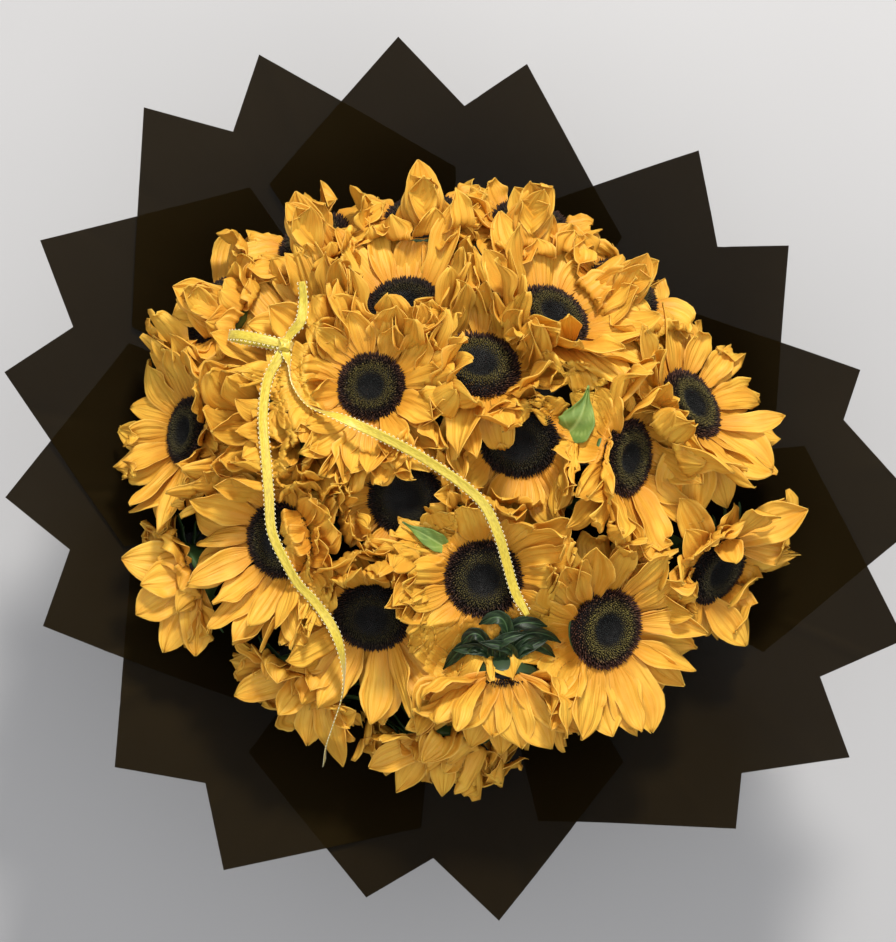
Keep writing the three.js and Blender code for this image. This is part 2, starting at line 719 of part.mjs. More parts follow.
function bandSolid(inside, thickness, height, sides) {
  const corner = 1 / Math.cos(Math.PI / sides);
  const low = BINDING_HEIGHT - height / 2;
  return toSolid(turned([
    [inside * corner, low],
    [(inside + thickness) * corner, low],
    [(inside + thickness) * corner, low + height],
    [inside * corner, low + height],
    [inside * corner, low],
  ], sides));
}

// Ribbon ----------------------------------------------------------------------------------

const RIBBON_SPARE = 1.5 * GAP;
const RIBBON_ROOM_ABOVE = 42;
const KNOT_SIZE = [7, 6, 4.5];
const LOOP_ROOM = [27, 12, 16];
const BOW_KNOT_SIZE = [8, 5.5, 9.5];

// A flat band along a route, from a box whose length is bent to the route. The band's width
// runs as near to sideways as it can, or level where no direction is given. Tall lifts its top.
function bandAlong(points, { width, thickness, steps, sideways, tall = 0 }) {
  const route = new THREE.CatmullRomCurve3(points, false, 'centripetal');
  const box = new THREE.BoxGeometry(1, 1, 1, 1, steps, 1);
  return toSolid(reshape(box, (point) => {
    const share = point.y + 0.5;
    const at = route.getPointAt(share);
    const forward = route.getTangentAt(share);
    const across = sideways
      ? sideways.clone().addScaledVector(forward, -forward.dot(sideways)).normalize()
      : new THREE.Vector3().crossVectors(forward, UP).normalize();
    const face = new THREE.Vector3().crossVectors(across, forward);
    return at.addScaledVector(across, point.x * width)
      .addScaledVector(face, point.z * thickness)
      .addScaledVector(UP, point.z > 0 ? tall : 0);
  }));
}

function overDome(list) {
  return list.map(([x, y, height]) => new THREE.Vector3(x, y, domeHeight(x, y) + height));
}

const RIBBON_RUNS = [
  { route: [KNOT, ...LEFT_TAIL], steps: 20 },
  { route: [KNOT, ...RIGHT_TAIL], steps: 18 },
  { route: [KNOT, ...SHORT_END], steps: 7 },
];

function ribbonRuns(spare, tall) {
  return RIBBON_RUNS.map(({ route, steps }) => bandAlong(overDome(route), {
    width: RIBBON_WIDTH + 2 * spare,
    thickness: RIBBON_THICKNESS + 2 * spare,
    steps,
    tall,
  }));
}

function knotAt(place, [across, deep, tall]) {
  return toSolid(new THREE.SphereGeometry(1, 8, 5).scale(across, deep, tall)
    .translate(place.x, place.y, place.z));
}

function ribbonSolid() {
  const [knot] = overDome([KNOT]);
  const loop = bandAlong(overDome(SMALL_LOOP), {
    width: RIBBON_WIDTH,
    thickness: RIBBON_THICKNESS,
    steps: 14,
    sideways: UP,
  });
  return fuse([knotAt(knot, KNOT_SIZE), loop, ...ribbonRuns(0, 0)]);
}

// The ribbon presses down what it lies on, so nothing stands through it or over it.
function ribbonRoom() {
  const [knot, loop] = overDome([KNOT, LOOP_MIDDLE]);
  const room = KNOT_SIZE.map((size) => size + 3 * GAP);
  return fuse([
    knotAt(knot, room),
    knotAt(loop, LOOP_ROOM),
    ...ribbonRuns(RIBBON_SPARE, RIBBON_ROOM_ABOVE),
  ]);
}

// The bow that holds the wrap: a knot on the band, two loops and two hanging tails.
function tieSolid() {
  const front = -(TIE_INSIDE + TIE_THICKNESS + 1);
  const place = (x, y, z) => new THREE.Vector3(x, front + y, BINDING_HEIGHT + z);
  const band = { width: TIE_WIDTH, thickness: TIE_THICKNESS };
  const sides = [-1, 1];
  const loops = sides.map((side) => bandAlong([
    place(side * 3, -5, 0),
    place(side * 22, -15, -2),
    place(side * 44, -17, -5),
    place(side * 50, -11, -6),
    place(side * 44, -6, -5),
    place(side * 22, -6, -2),
    place(side * 3, -3, 0),
  ], { ...band, steps: 9, sideways: UP }));
  const tails = sides.map((side) => bandAlong([
    place(side * 2, -4, -2),
    place(side * 10, -12, -24),
    place(side * 18, -21, -60),
    place(side * 27, -30, -104),
  ], { ...band, steps: 4, sideways: new THREE.Vector3(1, 0, 0) }));
  const ring = bandSolid(TIE_INSIDE, TIE_THICKNESS, TIE_WIDTH, TIE_SIDES);
  return fuse([ring, knotAt(place(0, -3, 0), BOW_KNOT_SIZE), ...loops, ...tails]);
}

// Wrap ------------------------------------------------------------------------------------

const FILM_ROOM = 3; // what petals keep clear over the middle of the film's layers
const PRISM_HEIGHT = 600;

function cross(a, b) {
  return a.x * b.y - a.y * b.x;
}

// Where two straight edges of the film meet, seen from above.
function edgesMeet(p, along, q, other) {
  const gap = q.clone().sub(p);
  return p.clone().addScaledVector(along, cross(gap, other) / cross(along, other));
}

// The outline of a sheet from above: its corners, with the notches between them.
function sheetOutline(corners) {
  const first = corners[0];
  const last = corners.at(-1);
  const tips = corners.map((corner) => ({
    point: flatPoint(corner.reach, corner.at),
    toCcw: flatPoint(1, corner.at + 180 - corner.ccw),
    toCw: flatPoint(1, corner.at + 180 + corner.cw),
  }));
  const side = SHEET_MARGIN + SHEET_STEP;
  const centre = new THREE.Vector2(0, 0);
  const outline = [centre];
  const startRay = flatPoint(1, first.at - side);
  outline.push(edgesMeet(tips[0].point, tips[0].toCw, centre, startRay));
  tips.forEach((tip, k) => {
    outline.push(tip.point);
    if (k + 1 < tips.length) {
      outline.push(edgesMeet(tip.point, tip.toCcw, tips[k + 1].point, tips[k + 1].toCw));
    }
  });
  const endRay = flatPoint(1, last.at + side);
  outline.push(edgesMeet(tips.at(-1).point, tips.at(-1).toCcw, centre, endRay));
  return outline;
}

// The sheets lie on one trumpet-shaped surface. Each climbs over the next, like a shutter.
function sheetSolid(corners) {
  const fold = (degrees) => Math.round(degrees / SHEET_STEP);
  const start = fold(corners[0].at - SHEET_MARGIN) * SHEET_STEP;
  const end = fold(corners.at(-1).at + SHEET_MARGIN) * SHEET_STEP;
  const middle = (corners[0].at + corners.at(-1).at) / 2;
  const columns = (end - start) / SHEET_STEP;
  const rows = WRAP_SECTION.length - 1;
  const box = new THREE.BoxGeometry(1, 1, 1, columns, rows, 1);
  const film = toSolid(reshape(box, (point) => {
    const degrees = start + (end - start) * (point.x + 0.5);
    const row = Math.round((point.y + 0.5) * rows);
    const [r0, z0] = WRAP_SECTION[Math.max(0, row - 1)];
    const [r1, z1] = WRAP_SECTION[Math.min(rows, row + 1)];
    const [radius, height] = WRAP_SECTION[row];
    const along = onCircle(r1 - r0, degrees, z1 - z0);
    const around = onCircle(1, degrees + 90);
    const normal = new THREE.Vector3().crossVectors(around, along).normalize();
    const layer = (degrees - middle) * FILM_STEP + point.z * FILM;
    return onCircle(radius, degrees, height).addScaledVector(normal, layer);
  }));
  const prism = new THREE.ExtrudeGeometry(new THREE.Shape(sheetOutline(corners)), {
    depth: PRISM_HEIGHT,
    bevelEnabled: false,
  });
  return film.intersect(toSolid(prism.translate(0, 0, -PRISM_HEIGHT / 4)));
}

// The room of the wrap and of what lies outside it, cut out of the petals at the edge.
function wrapRoom() {
  const upper = WRAP_SECTION.filter(([, height]) => height > BINDING_HEIGHT);
  const inner = upper.map(([radius, height]) => [radius, height + FILM_ROOM]);
  const outer = upper.at(-1)[0];
  const profile = [[0, 0], [0, inner[0][1]], ...inner, [outer, 0], [0, 0]];
  return toSolid(turned(profile.reverse(), 360 / SHEET_STEP));
}

// Finishes and nodes ----------------------------------------------------------------------

const FINISHES = {
  petal: { color: 0xf0b02a, roughness: 0.55, metalness: 0 },
  disc: { color: 0x2a1a10, roughness: 0.85, metalness: 0 },
  green: { color: 0x4c7a3a, roughness: 0.6, metalness: 0 },
  string: { color: 0xb9a27a, roughness: 0.9, metalness: 0 },
  ribbon: { color: 0xe8d848, roughness: 0.4, metalness: 0 },
  film: { color: 0x1c1712, roughness: 0.35, metalness: 0 },
};

const group = new THREE.Group();

function addNode(name, solid, finish) {
  const mesh = new THREE.Mesh(toGeometry(solid), new THREE.MeshStandardMaterial(FINISHES[finish]));
  mesh.name = name;
  group.add(mesh);
}

const green = greenSolid();
const ribbon = ribbonSolid();
const keptClear = [wrapRoom(), ribbonRoom(), ...LEAVES.map((leaf) => leafSolid(leaf, GAP))];

function petalNode(name) {
  const own = blooms.filter((bloom) => nodeOf(bloom) === name);
  const petals = fuse(own.map(bloomPetals));
  const cut = keptClear.filter((room) => overlaps(petals, room))
    .reduce((kept, room) => kept.subtract(room), petals);
  addNode(`petals_${name}`, largestBody(toSolid(toGeometry(cut))), 'petal');
}

[...new Set(blooms.map(nodeOf))].forEach(petalNode);
blooms.filter((bloom) => bloom.open > SHOWS_DISC)
  .forEach((bloom) => addNode(`disc_${bloom.id}`, discSolid(bloom), 'disc'));
addNode('stems', green, 'green');
addNode(
  'binding_string',
  bandSolid(STRING_INSIDE, STRING_THICKNESS, STRING_HEIGHT, TIE_SIDES),
  'string',
);
addNode('wrap_tie', tieSolid(), 'ribbon');
addNode('ribbon', ribbon, 'ribbon');
SHEETS.forEach((corners, k) => addNode(`wrap_sheet_${k + 1}`, sheetSolid(corners), 'film'));

// The origin is the middle of the bunch's outline, on the surface that it stands on.
const outline = new THREE.Box3().setFromObject(group);
const middle = outline.getCenter(new THREE.Vector3());
group.position.set(-middle.x, -middle.y, -outline.min.z);

export default group;
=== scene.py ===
"""A hand-tied bunch of sunflowers in dark see-through film, seen from straight above.

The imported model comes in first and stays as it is. Every petal, floret, bract, stem, ribbon and
sheet of film is then made in the same place, from the sizes that the model is made from.
Lengths are in millimetres from the bunch's own axis until a mesh is made, and then in metres.
"""

import logging
import math
from dataclasses import dataclass, field
from enum import Enum

import bpy
import numpy as np
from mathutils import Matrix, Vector


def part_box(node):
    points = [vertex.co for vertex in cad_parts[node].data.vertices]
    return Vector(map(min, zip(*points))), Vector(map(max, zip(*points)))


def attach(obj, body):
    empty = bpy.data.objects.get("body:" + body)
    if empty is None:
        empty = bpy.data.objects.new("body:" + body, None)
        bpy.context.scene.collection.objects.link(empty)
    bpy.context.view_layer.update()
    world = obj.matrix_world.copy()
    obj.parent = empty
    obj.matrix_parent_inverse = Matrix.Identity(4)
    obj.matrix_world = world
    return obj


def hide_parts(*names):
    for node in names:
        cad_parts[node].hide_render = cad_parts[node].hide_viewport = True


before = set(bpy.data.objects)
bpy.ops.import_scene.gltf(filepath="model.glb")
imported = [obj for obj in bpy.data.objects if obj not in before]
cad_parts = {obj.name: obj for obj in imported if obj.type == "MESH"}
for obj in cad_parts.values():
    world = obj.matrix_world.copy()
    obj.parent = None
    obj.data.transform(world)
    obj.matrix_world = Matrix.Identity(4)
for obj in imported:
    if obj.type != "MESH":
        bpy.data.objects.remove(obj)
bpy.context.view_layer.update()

LOG = logging.getLogger("sunflowers")
Array = np.ndarray
Material = bpy.types.Material
Tree = bpy.types.NodeTree
Socket = bpy.types.NodeSocket
Point = tuple[float, float, float]

# Driving dimensions, in millimetres and degrees ------------------------------------------

MM = 0.001
DISC_RADIUS = 24.0
DISC_DOME = 6.0  # how far the middle of a disc stands above its rim
DISC_BASE = -3.0
RAY_LENGTH = 54.0
RAY_WIDTH = 20.0
DOME_TOP = 450.0  # height of the highest disc
DOME_ROUND = 656.0  # the blooms' surface falls by r * r / DOME_ROUND
BINDING_HEIGHT = 170.0
BINDING_RADIUS = 25.5
FOOT_RADIUS = 64.0
STEM_RADIUS = 4.3
NECK_RADIUS = 37.0
NECK_LENGTH = 16.0
SATIN_WIDTH = 6.3  # of the satin between them
WRAP_SECTION = (
    (78.0, 5.0),
    (NECK_RADIUS, BINDING_HEIGHT - NECK_LENGTH / 2),
    (NECK_RADIUS, BINDING_HEIGHT + NECK_LENGTH / 2),
    (115.0, 245.0),
    (178.0, 292.0),
    (254.0, 337.0),
    (352.0, 366.0),
)
GOLDEN_ANGLE = 137.508
UP = np.array([0.0, 0.0, 1.0])


class Slot(Enum):
    """The record's material slots."""

    PETAL = "petal"
    DISC = "floret_disc"
    GREEN = "green"
    STRING = "string"
    RIBBON = "ribbon"
    FILM = "film"


# Small tools -----------------------------------------------------------------------------


def linear(hex_colour: str) -> tuple[float, float, float, float]:
    """Turn an sRGB hex colour to linear light.

    Args:
        hex_colour: Six hex digits after a hash sign.

    Returns:
        Red, green, blue and an alpha of 1.
    """
    parts = [int(hex_colour[i : i + 2], 16) / 255 for i in (1, 3, 5)]
    light = [c / 12.92 if c <= 0.04045 else ((c + 0.055) / 1.055) ** 2.4 for c in parts]
    return (light[0], light[1], light[2], 1.0)


def unit(vectors: Array) -> Array:
    """Scale vectors along the last axis to length 1."""
    return vectors / np.maximum(np.linalg.norm(vectors, axis=-1, keepdims=True), 1e-9)


def on_circle(radius: Array | float, degrees: Array | float, height: Array | float = 0.0) -> Array:
    """Points at a radius and a compass angle.

    Args:
        radius: Distance from the axis.
        degrees: Compass angle, anticlockwise from +X.
        height: Height of the points.

    Returns:
        An array of points, with x, y and z along the last axis.
    """
    angle = np.radians(degrees)
    x, y, z = np.broadcast_arrays(radius * np.cos(angle), radius * np.sin(angle), height)
    return np.stack([x, y, z], axis=-1)


def dome_height(x: Array | float, y: Array | float) -> Array | float:
    """Height of the surface that the blooms' discs lie on."""
    return DOME_TOP - (x * x + y * y) / DOME_ROUND


def over_dome(points: tuple[Point, ...]) -> Array:
    """Points given by x, y and their height over the dome, as real points."""
    p = np.array(points, float)
    return np.column_stack([p[:, 0], p[:, 1], dome_height(p[:, 0], p[:, 1]) + p[:, 2]])


def spline(points: Array, samples: int) -> Array:
    """A centripetal Catmull-Rom curve through points.

    Args:
        points: The points that the curve passes, one a row.
        samples: How many points to return for each stretch between two of them.

    Returns:
        The curve's points, one a row.
    """
    before, after = 2 * points[0] - points[1], 2 * points[-1] - points[-2]
    p = np.vstack([before, points, after])
    gaps = np.maximum(np.sum(np.diff(p, axis=0) ** 2, axis=1) ** 0.25, 1e-6)
    made = []
    for i in range(1, len(p) - 2):
        d0, d1, d2 = gaps[i - 1], gaps[i], gaps[i + 1]
        x0, x1, x2, x3 = p[i - 1 : i + 3]
        t1 = ((x1 - x0) / d0 - (x2 - x0) / (d0 + d1) + (x2 - x1) / d1) * d1
        t2 = ((x2 - x1) / d1 - (x3 - x1) / (d1 + d2) + (x3 - x2) / d2) * d1
        s = np.linspace(0, 1, samples, endpoint=False)[:, None]
        rest = (2 * x1 - 2 * x2 + t1 + t2) * s**3
        made.append(x1 + t1 * s + (-3 * x1 + 3 * x2 - 2 * t1 - t2) * s**2 + rest)
    return np.vstack([*made, points[-1:]])


def square_to(ahead: Array, vectors: Array) -> Array:
    """The part of vectors that is square to the directions ahead, at length 1."""
    return unit(vectors - ahead * np.sum(vectors * ahead, axis=-1, keepdims=True))


def blade(line: Array, side: Array, face: Array, x: Array, z: Array) -> Array:
    """A blade's upper face: its middle line, spread by x to the side and raised by z."""
    line, side, face = line[..., None, :], side[..., None, :], face[..., None, :]
    return line + side * x[..., None] + face * z[..., None]


def distances(line: Array) -> Array:
    """How far each point of a line is from its start, along the line."""
    return np.concatenate([[0], np.cumsum(np.linalg.norm(np.diff(line, axis=0), axis=1))])


def tangents(line: Array) -> Array:
    """Directions along a line of points."""
    return unit(np.gradient(line, axis=0))


def length_of(line: Array) -> float:
    """Length of a line of points."""
    return float(np.linalg.norm(np.diff(line, axis=0), axis=1).sum())


def new_object(name: str, data: bpy.types.ID | None) -> bpy.types.Object:
    """Make an object and put it in the scene.

    Args:
        name: Name of the object.
        data: Its mesh, lamp or camera, or None.

    Returns:
        The object.
    """
    made = bpy.data.objects.new(name, data)
    bpy.context.scene.collection.objects.link(made)
    return made


class MeshMaker:
    """Gathers closed shapes in millimetres and makes one Blender mesh of them."""

    def __init__(self) -> None:
        """Start with no shapes."""
        self.points: list[Array] = []
        self.faces: list[Array] = []
        self.marks: dict[str, list[Array]] = {}
        self.smooth: list[Array] = []
        self.count = 0

    def add(self, points: Array, faces: Array, smooth: Array | bool = True, **marks: Array) -> None:
        """Add one shape, or many alike.

        Args:
            points: Points, one a row.
            faces: Corner numbers, four a row. A triangle repeats its last corner.
            smooth: Whether each face is shaded smooth.
            **marks: Values for each point, kept as attributes of the mesh.
        """
        self.points.append(points.reshape(-1, 3))
        self.faces.append(faces.reshape(-1, 4) + self.count)
        self.smooth.append(np.broadcast_to(smooth, len(self.faces[-1])))
        total = len(self.points[-1])
        for name, values in marks.items():
            self.marks.setdefault(name, []).append(np.broadcast_to(values, total).ravel())
        self.count += total

    def add_sheet(self, grid: Array, thickness: Array | float, **marks: Array) -> None:
        """Add sheets with a thickness, each closed round its rim.

        Args:
            grid: Upper faces, as (sheets, along, across, 3).
            thickness: Thickness of the sheets at each point.
            **marks: Values for each point of the grid.
        """
        sheets, rows, columns, _ = grid.shape
        normal = unit(np.cross(np.gradient(grid, axis=1), np.gradient(grid, axis=2)))
        thick = np.broadcast_to(thickness, grid.shape[:3])[..., None]
        both = np.stack([grid, grid - normal * thick], axis=1)
        faces = sheet_faces(rows, columns)
        smooth = np.tile(np.arange(len(faces)) < 2 * (rows - 1) * (columns - 1), sheets)
        starts = np.arange(sheets) * 2 * rows * columns
        doubled = {k: np.stack([np.broadcast_to(v, grid.shape[:3])] * 2, axis=1).ravel()
                   for k, v in marks.items()}
        self.add(both, faces[None] + starts[:, None, None], smooth, **doubled)

    def add_tube(self, line: Array, radius: Array | float, sides: int, **marks: Array) -> None:
        """Add a round tube along a line, closed at both ends.

        Args:
            line: Points along the middle of the tube.
            radius: Radius at each point.
            sides: Number of sides.
            **marks: Values for each point of the line.
        """
        ahead = tangents(line)
        side = steady_sides(ahead)
        up = np.cross(ahead, side)
        angle = np.linspace(0, 2 * np.pi, sides, endpoint=False)
        size = np.broadcast_to(radius, len(line))[:, None, None]
        cos, sin = np.cos(angle)[None, :, None], np.sin(angle)[None, :, None]
        ring = cos * side[:, None] + sin * up[:, None]
        points = line[:, None] + size * ring
        flat = np.vstack([points.reshape(-1, 3), line[:1], line[-1:]])
        spread = {k: np.append(np.repeat(np.broadcast_to(v, len(line)), sides), [0.0, 0.0])
                  for k, v in marks.items()}
        self.add(flat, tube_faces(len(line), sides), **spread)

    def piece(self, name: str, slot: Slot, material: Material, *nodes: str) -> bpy.types.Object:
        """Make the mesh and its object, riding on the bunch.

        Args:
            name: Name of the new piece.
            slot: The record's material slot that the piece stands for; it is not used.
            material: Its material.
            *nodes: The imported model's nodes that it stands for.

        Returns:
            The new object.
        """
        mesh = bpy.data.meshes.new(name)
        points = (np.vstack(self.points) + AXIS) * MM
        faces = np.vstack(self.faces)
        three = faces[:, 2] == faces[:, 3]
        sizes = np.where(three, 3, 4)
        corners = faces.ravel()[np.column_stack([np.ones((len(faces), 3), bool), ~three]).ravel()]
        mesh.vertices.add(len(points))
        mesh.vertices.foreach_set("co", points.astype(np.float32).ravel())
        mesh.loops.add(len(corners))
        mesh.loops.foreach_set("vertex_index", corners.astype(np.int32))
        mesh.polygons.add(len(faces))
        starts = np.concatenate([[0], np.cumsum(sizes)[:-1]]).astype(np.int32)
        mesh.polygons.foreach_set("loop_start", starts)
        mesh.polygons.foreach_set("use_smooth", np.concatenate(self.smooth))
        for mark, values in self.marks.items():
            layer = mesh.attributes.new(mark, "FLOAT", "POINT")
            layer.data.foreach_set("value", np.concatenate(values).astype(np.float32))
        mesh.materials.append(material)
        mesh.update(calc_edges=True)
        mesh.validate()
        made = new_object(name, mesh)
        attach(made, "root")
        if nodes:
            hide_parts(*nodes)
        LOG.info("%s: %d points, %d faces", name, len(points), len(faces))
        return made


def sheet_faces(rows: int, columns: int) -> Array:
    """Faces of a sheet with two sides of rows by columns points, closed round its rim.

    Args:
        rows: Number of points along it.
        columns: Number of points across it.

    Returns:
        The faces, four points a row.
    """
    index = np.arange(rows * columns).reshape(rows, columns)
    a, b, c, d = index[:-1, :-1], index[1:, :-1], index[1:, 1:], index[:-1, 1:]
    upper = np.stack([a, b, c, d], axis=-1).reshape(-1, 4)
    lower = upper[:, ::-1] + rows * columns
    rim = np.concatenate([index[0, :], index[1:, -1], index[-1, -2::-1], index[-2:0:-1, 0]])
    after = np.roll(rim, -1)
    low = rows * columns
    return np.vstack([upper, lower, np.stack([rim, after, after + low, rim + low], axis=-1)])


def lathe(section: Array, sides: int, ends: tuple[float, float]) -> tuple[Array, Array]:
    """Turn a section round the upright axis.

    Args:
        section: Radius and height, one pair a row.
        sides: Number of sides.
        ends: Heights of the middle points that close its two ends.

    Returns:
        The points, and the faces between them.
    """
    angle = np.linspace(0, 2 * np.pi, sides, endpoint=False)
    ring = np.stack([np.cos(angle), np.sin(angle)], axis=1)
    heights = np.broadcast_to(section[:, 1:, None], (len(section), sides, 1))
    wall = np.concatenate([section[:, :1, None] * ring[None], heights], axis=2)
    points = np.vstack([wall.reshape(-1, 3), [[0, 0, end] for end in ends]])
    return points, tube_faces(len(section), sides)


def tube_faces(rings: int, sides: int) -> Array:
    """Faces of a tube with a middle point at each end.

    Args:
        rings: Number of rings.
        sides: Number of sides.

    Returns:
        The faces.
    """
    index = np.arange(rings * sides).reshape(rings, sides)
    after = np.roll(index, -1, axis=1)
    wall = np.stack([index[:-1], after[:-1], after[1:], index[1:]], axis=-1).reshape(-1, 4)
    first, last = np.full(sides, rings * sides), np.full(sides, rings * sides + 1)
    foot = np.stack([after[0], index[0], first, first], axis=-1)
    top = np.stack([index[-1], after[-1], last, last], axis=-1)
    return np.vstack([wall, foot, top])


def steady_sides(ahead: Array) -> Array:
    """Directions across a line that turn as little as they can along it.

    Args:
        ahead: Direction of the line at each point.

    Returns:
        One direction a point.
    """
    start = np.cross(ahead[0], UP)
    side = [unit(start) if np.linalg.norm(start) > 1e-3 else np.array([1.0, 0.0, 0.0])]
    for direction in ahead[1:]:
        last = side[-1]
        side.append(unit(last - direction * (last @ direction)))
    return np.array(side)


# The bunch's axis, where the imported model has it: the string goes round it.
STRING_BOX = np.array([list(corner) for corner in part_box("binding_string")]) / MM
AXIS = np.append(STRING_BOX.mean(axis=0)[:2], 0.0)


# Finishes --------------------------------------------------------------------------------


def add_node(tree: Tree, kind: str, settings: dict[str | int, object] | None = None,
             links: dict[str | int, Socket] | None = None) -> bpy.types.Node:
    """Add a node with its settings and links.

    Args:
        tree: The material's node tree.
        kind: The node's type.
        settings: Properties by name, or values of input sockets by name or number. Hex colours
            are turned linear, and stops are the places and colours of a colour ramp.
        links: Output sockets by the name or number of the input that they go to.

    Returns:
        The new node.
    """
    made = tree.nodes.new(kind)
    for key, value in (settings or {}).items():
        if key == "stops":
            for place, _ in value[2:]:
                made.color_ramp.elements.new(place)
            for element, (place, colour) in zip(made.color_ramp.elements, value):
                element.position, element.color = place, linear(colour)
        elif isinstance(key, str) and hasattr(made, key):
            setattr(made, key, value)
        else:
            is_colour = isinstance(value, str) and value.startswith("#")
            made.inputs[key].default_value = linear(value) if is_colour else value
    for key, source in (links or {}).items():
        tree.links.new(source, made.inputs[key])
    return made


class Finish:
    """A real material, as a procedural one. Each kind says which shader it has."""

    name: str

    def shader(self, tree: Tree) -> Socket:
        """Add the nodes that make the look, and give the shader's socket."""
        raise NotImplementedError

    def build(self) -> Material:
        """Make the material.

        Returns:
            The material.
        """
        material = bpy.data.materials.new(self.name)
        material.use_nodes = True
        tree = material.node_tree
        tree.nodes.clear()
        add_node(tree, "ShaderNodeOutputMaterial", links={"Surface": self.shader(tree)})
        return material


@dataclass(frozen=True)
class RayFloretTissue(Finish):
    """Living petal tissue of a sunflower: matt, thin enough to glow, with lengthwise veins.

    The eye sees a warm yellow that turns orange in the folds and at the root, and pale thin rims,
    which are a highlight painted round the edge of each blade.
    """

    name: str = "ray_floret_tissue"
    lit: str = "#F0C44C"
    warm: str = "#E6AC3C"
    root: str = "#D68A22"
    # Pale yellow: a highlight painted round each blade's rim and tip.
    rim: str = "#F6DC7C"
    vein: str = "#D6961F"
    vein_spacing: float = 1.5  # drawn coarser than the real 0.5 mm, which is too fine to show
    roughness: float = 0.5
    glow: float = 0.38  # share of light that passes through the tissue

    def shader(self, tree: Tree) -> Socket:
        """Add the nodes that make the look, and give the shader's socket.

        Args:
            tree: The material's node tree.

        Returns:
            The shader's socket.
        """
        along, lane, own, rim = (
            add_node(tree, "ShaderNodeAttribute", {"attribute_name": key}).outputs["Fac"]
            for key in ("along", "lane", "own", "edge"))
        place = add_node(tree, "ShaderNodeCombineXYZ", links={"X": lane, "Y": along, "Z": own})
        often = RAY_WIDTH / 2 / self.vein_spacing
        stretched = add_node(tree, "ShaderNodeMapping", {"Scale": (often, 0.025, 40.0)},
                             {"Vector": place.outputs[0]})
        veins = add_node(tree, "ShaderNodeTexNoise",
                         {"Scale": 1.0, "Detail": 2.0, "Roughness": 0.55},
                         {"Vector": stretched.outputs[0]})
        soft_place = add_node(tree, "ShaderNodeMapping", {"Scale": (0.9, 0.05, 40.0)},
                              {"Vector": place.outputs[0]})
        blotch = add_node(tree, "ShaderNodeTexNoise", {"Scale": 1.0, "Detail": 2.0},
                          {"Vector": soft_place.outputs[0]})
        base = add_node(tree, "ShaderNodeValToRGB",
                        {"stops": [(0.3, self.warm), (0.62, self.lit)]},
                        {"Fac": blotch.outputs["Fac"]}).outputs[0]
        near_root = add_node(tree, "ShaderNodeMapRange",
                             {"From Min": 22.0, "From Max": 2.0, "To Min": 0.0, "To Max": 0.75},
                             {"Value": along})
        rooted = add_node(tree, "ShaderNodeMix", {"data_type": "RGBA", 7: self.root},
                          {0: near_root.outputs[0], 6: base}).outputs[2]
        vein_share = add_node(tree, "ShaderNodeMapRange",
                              {"From Min": 0.5, "From Max": 0.68, "To Min": 0.0, "To Max": 0.55},
                              {"Value": veins.outputs["Fac"]})
        veined = add_node(tree, "ShaderNodeMix", {"data_type": "RGBA", 7: self.vein},
                          {0: vein_share.outputs[0], 6: rooted}).outputs[2]
        # Paints a highlight round the rim and tip of each blade.
        edge = add_node(tree, "ShaderNodeMapRange",
                        {"From Min": 0.9, "From Max": 1.0, "To Min": 0.0, "To Max": 0.25},
                        {"Value": rim})
        rim_highlighted = add_node(tree, "ShaderNodeMix", {"data_type": "RGBA", 7: self.rim},
                          {0: edge.outputs[0], 6: veined}).outputs[2]
        bump = add_node(tree, "ShaderNodeBump", {"Strength": 0.8, "Distance": 0.0014},
                        {"Height": veins.outputs["Fac"]})
        skin = add_node(tree, "ShaderNodeBsdfPrincipled",
                        {"Roughness": self.roughness, "Specular IOR Level": 0.3},
                        {"Base Color": rim_highlighted, "Normal": bump.outputs[0]})
        through = add_node(tree, "ShaderNodeBsdfTranslucent", links={"Color": rim_highlighted})
        both = add_node(tree, "ShaderNodeMixShader", {"Fac": self.glow},
                        {1: skin.outputs[0], 2: through.outputs[0]})
        return both.outputs[0]


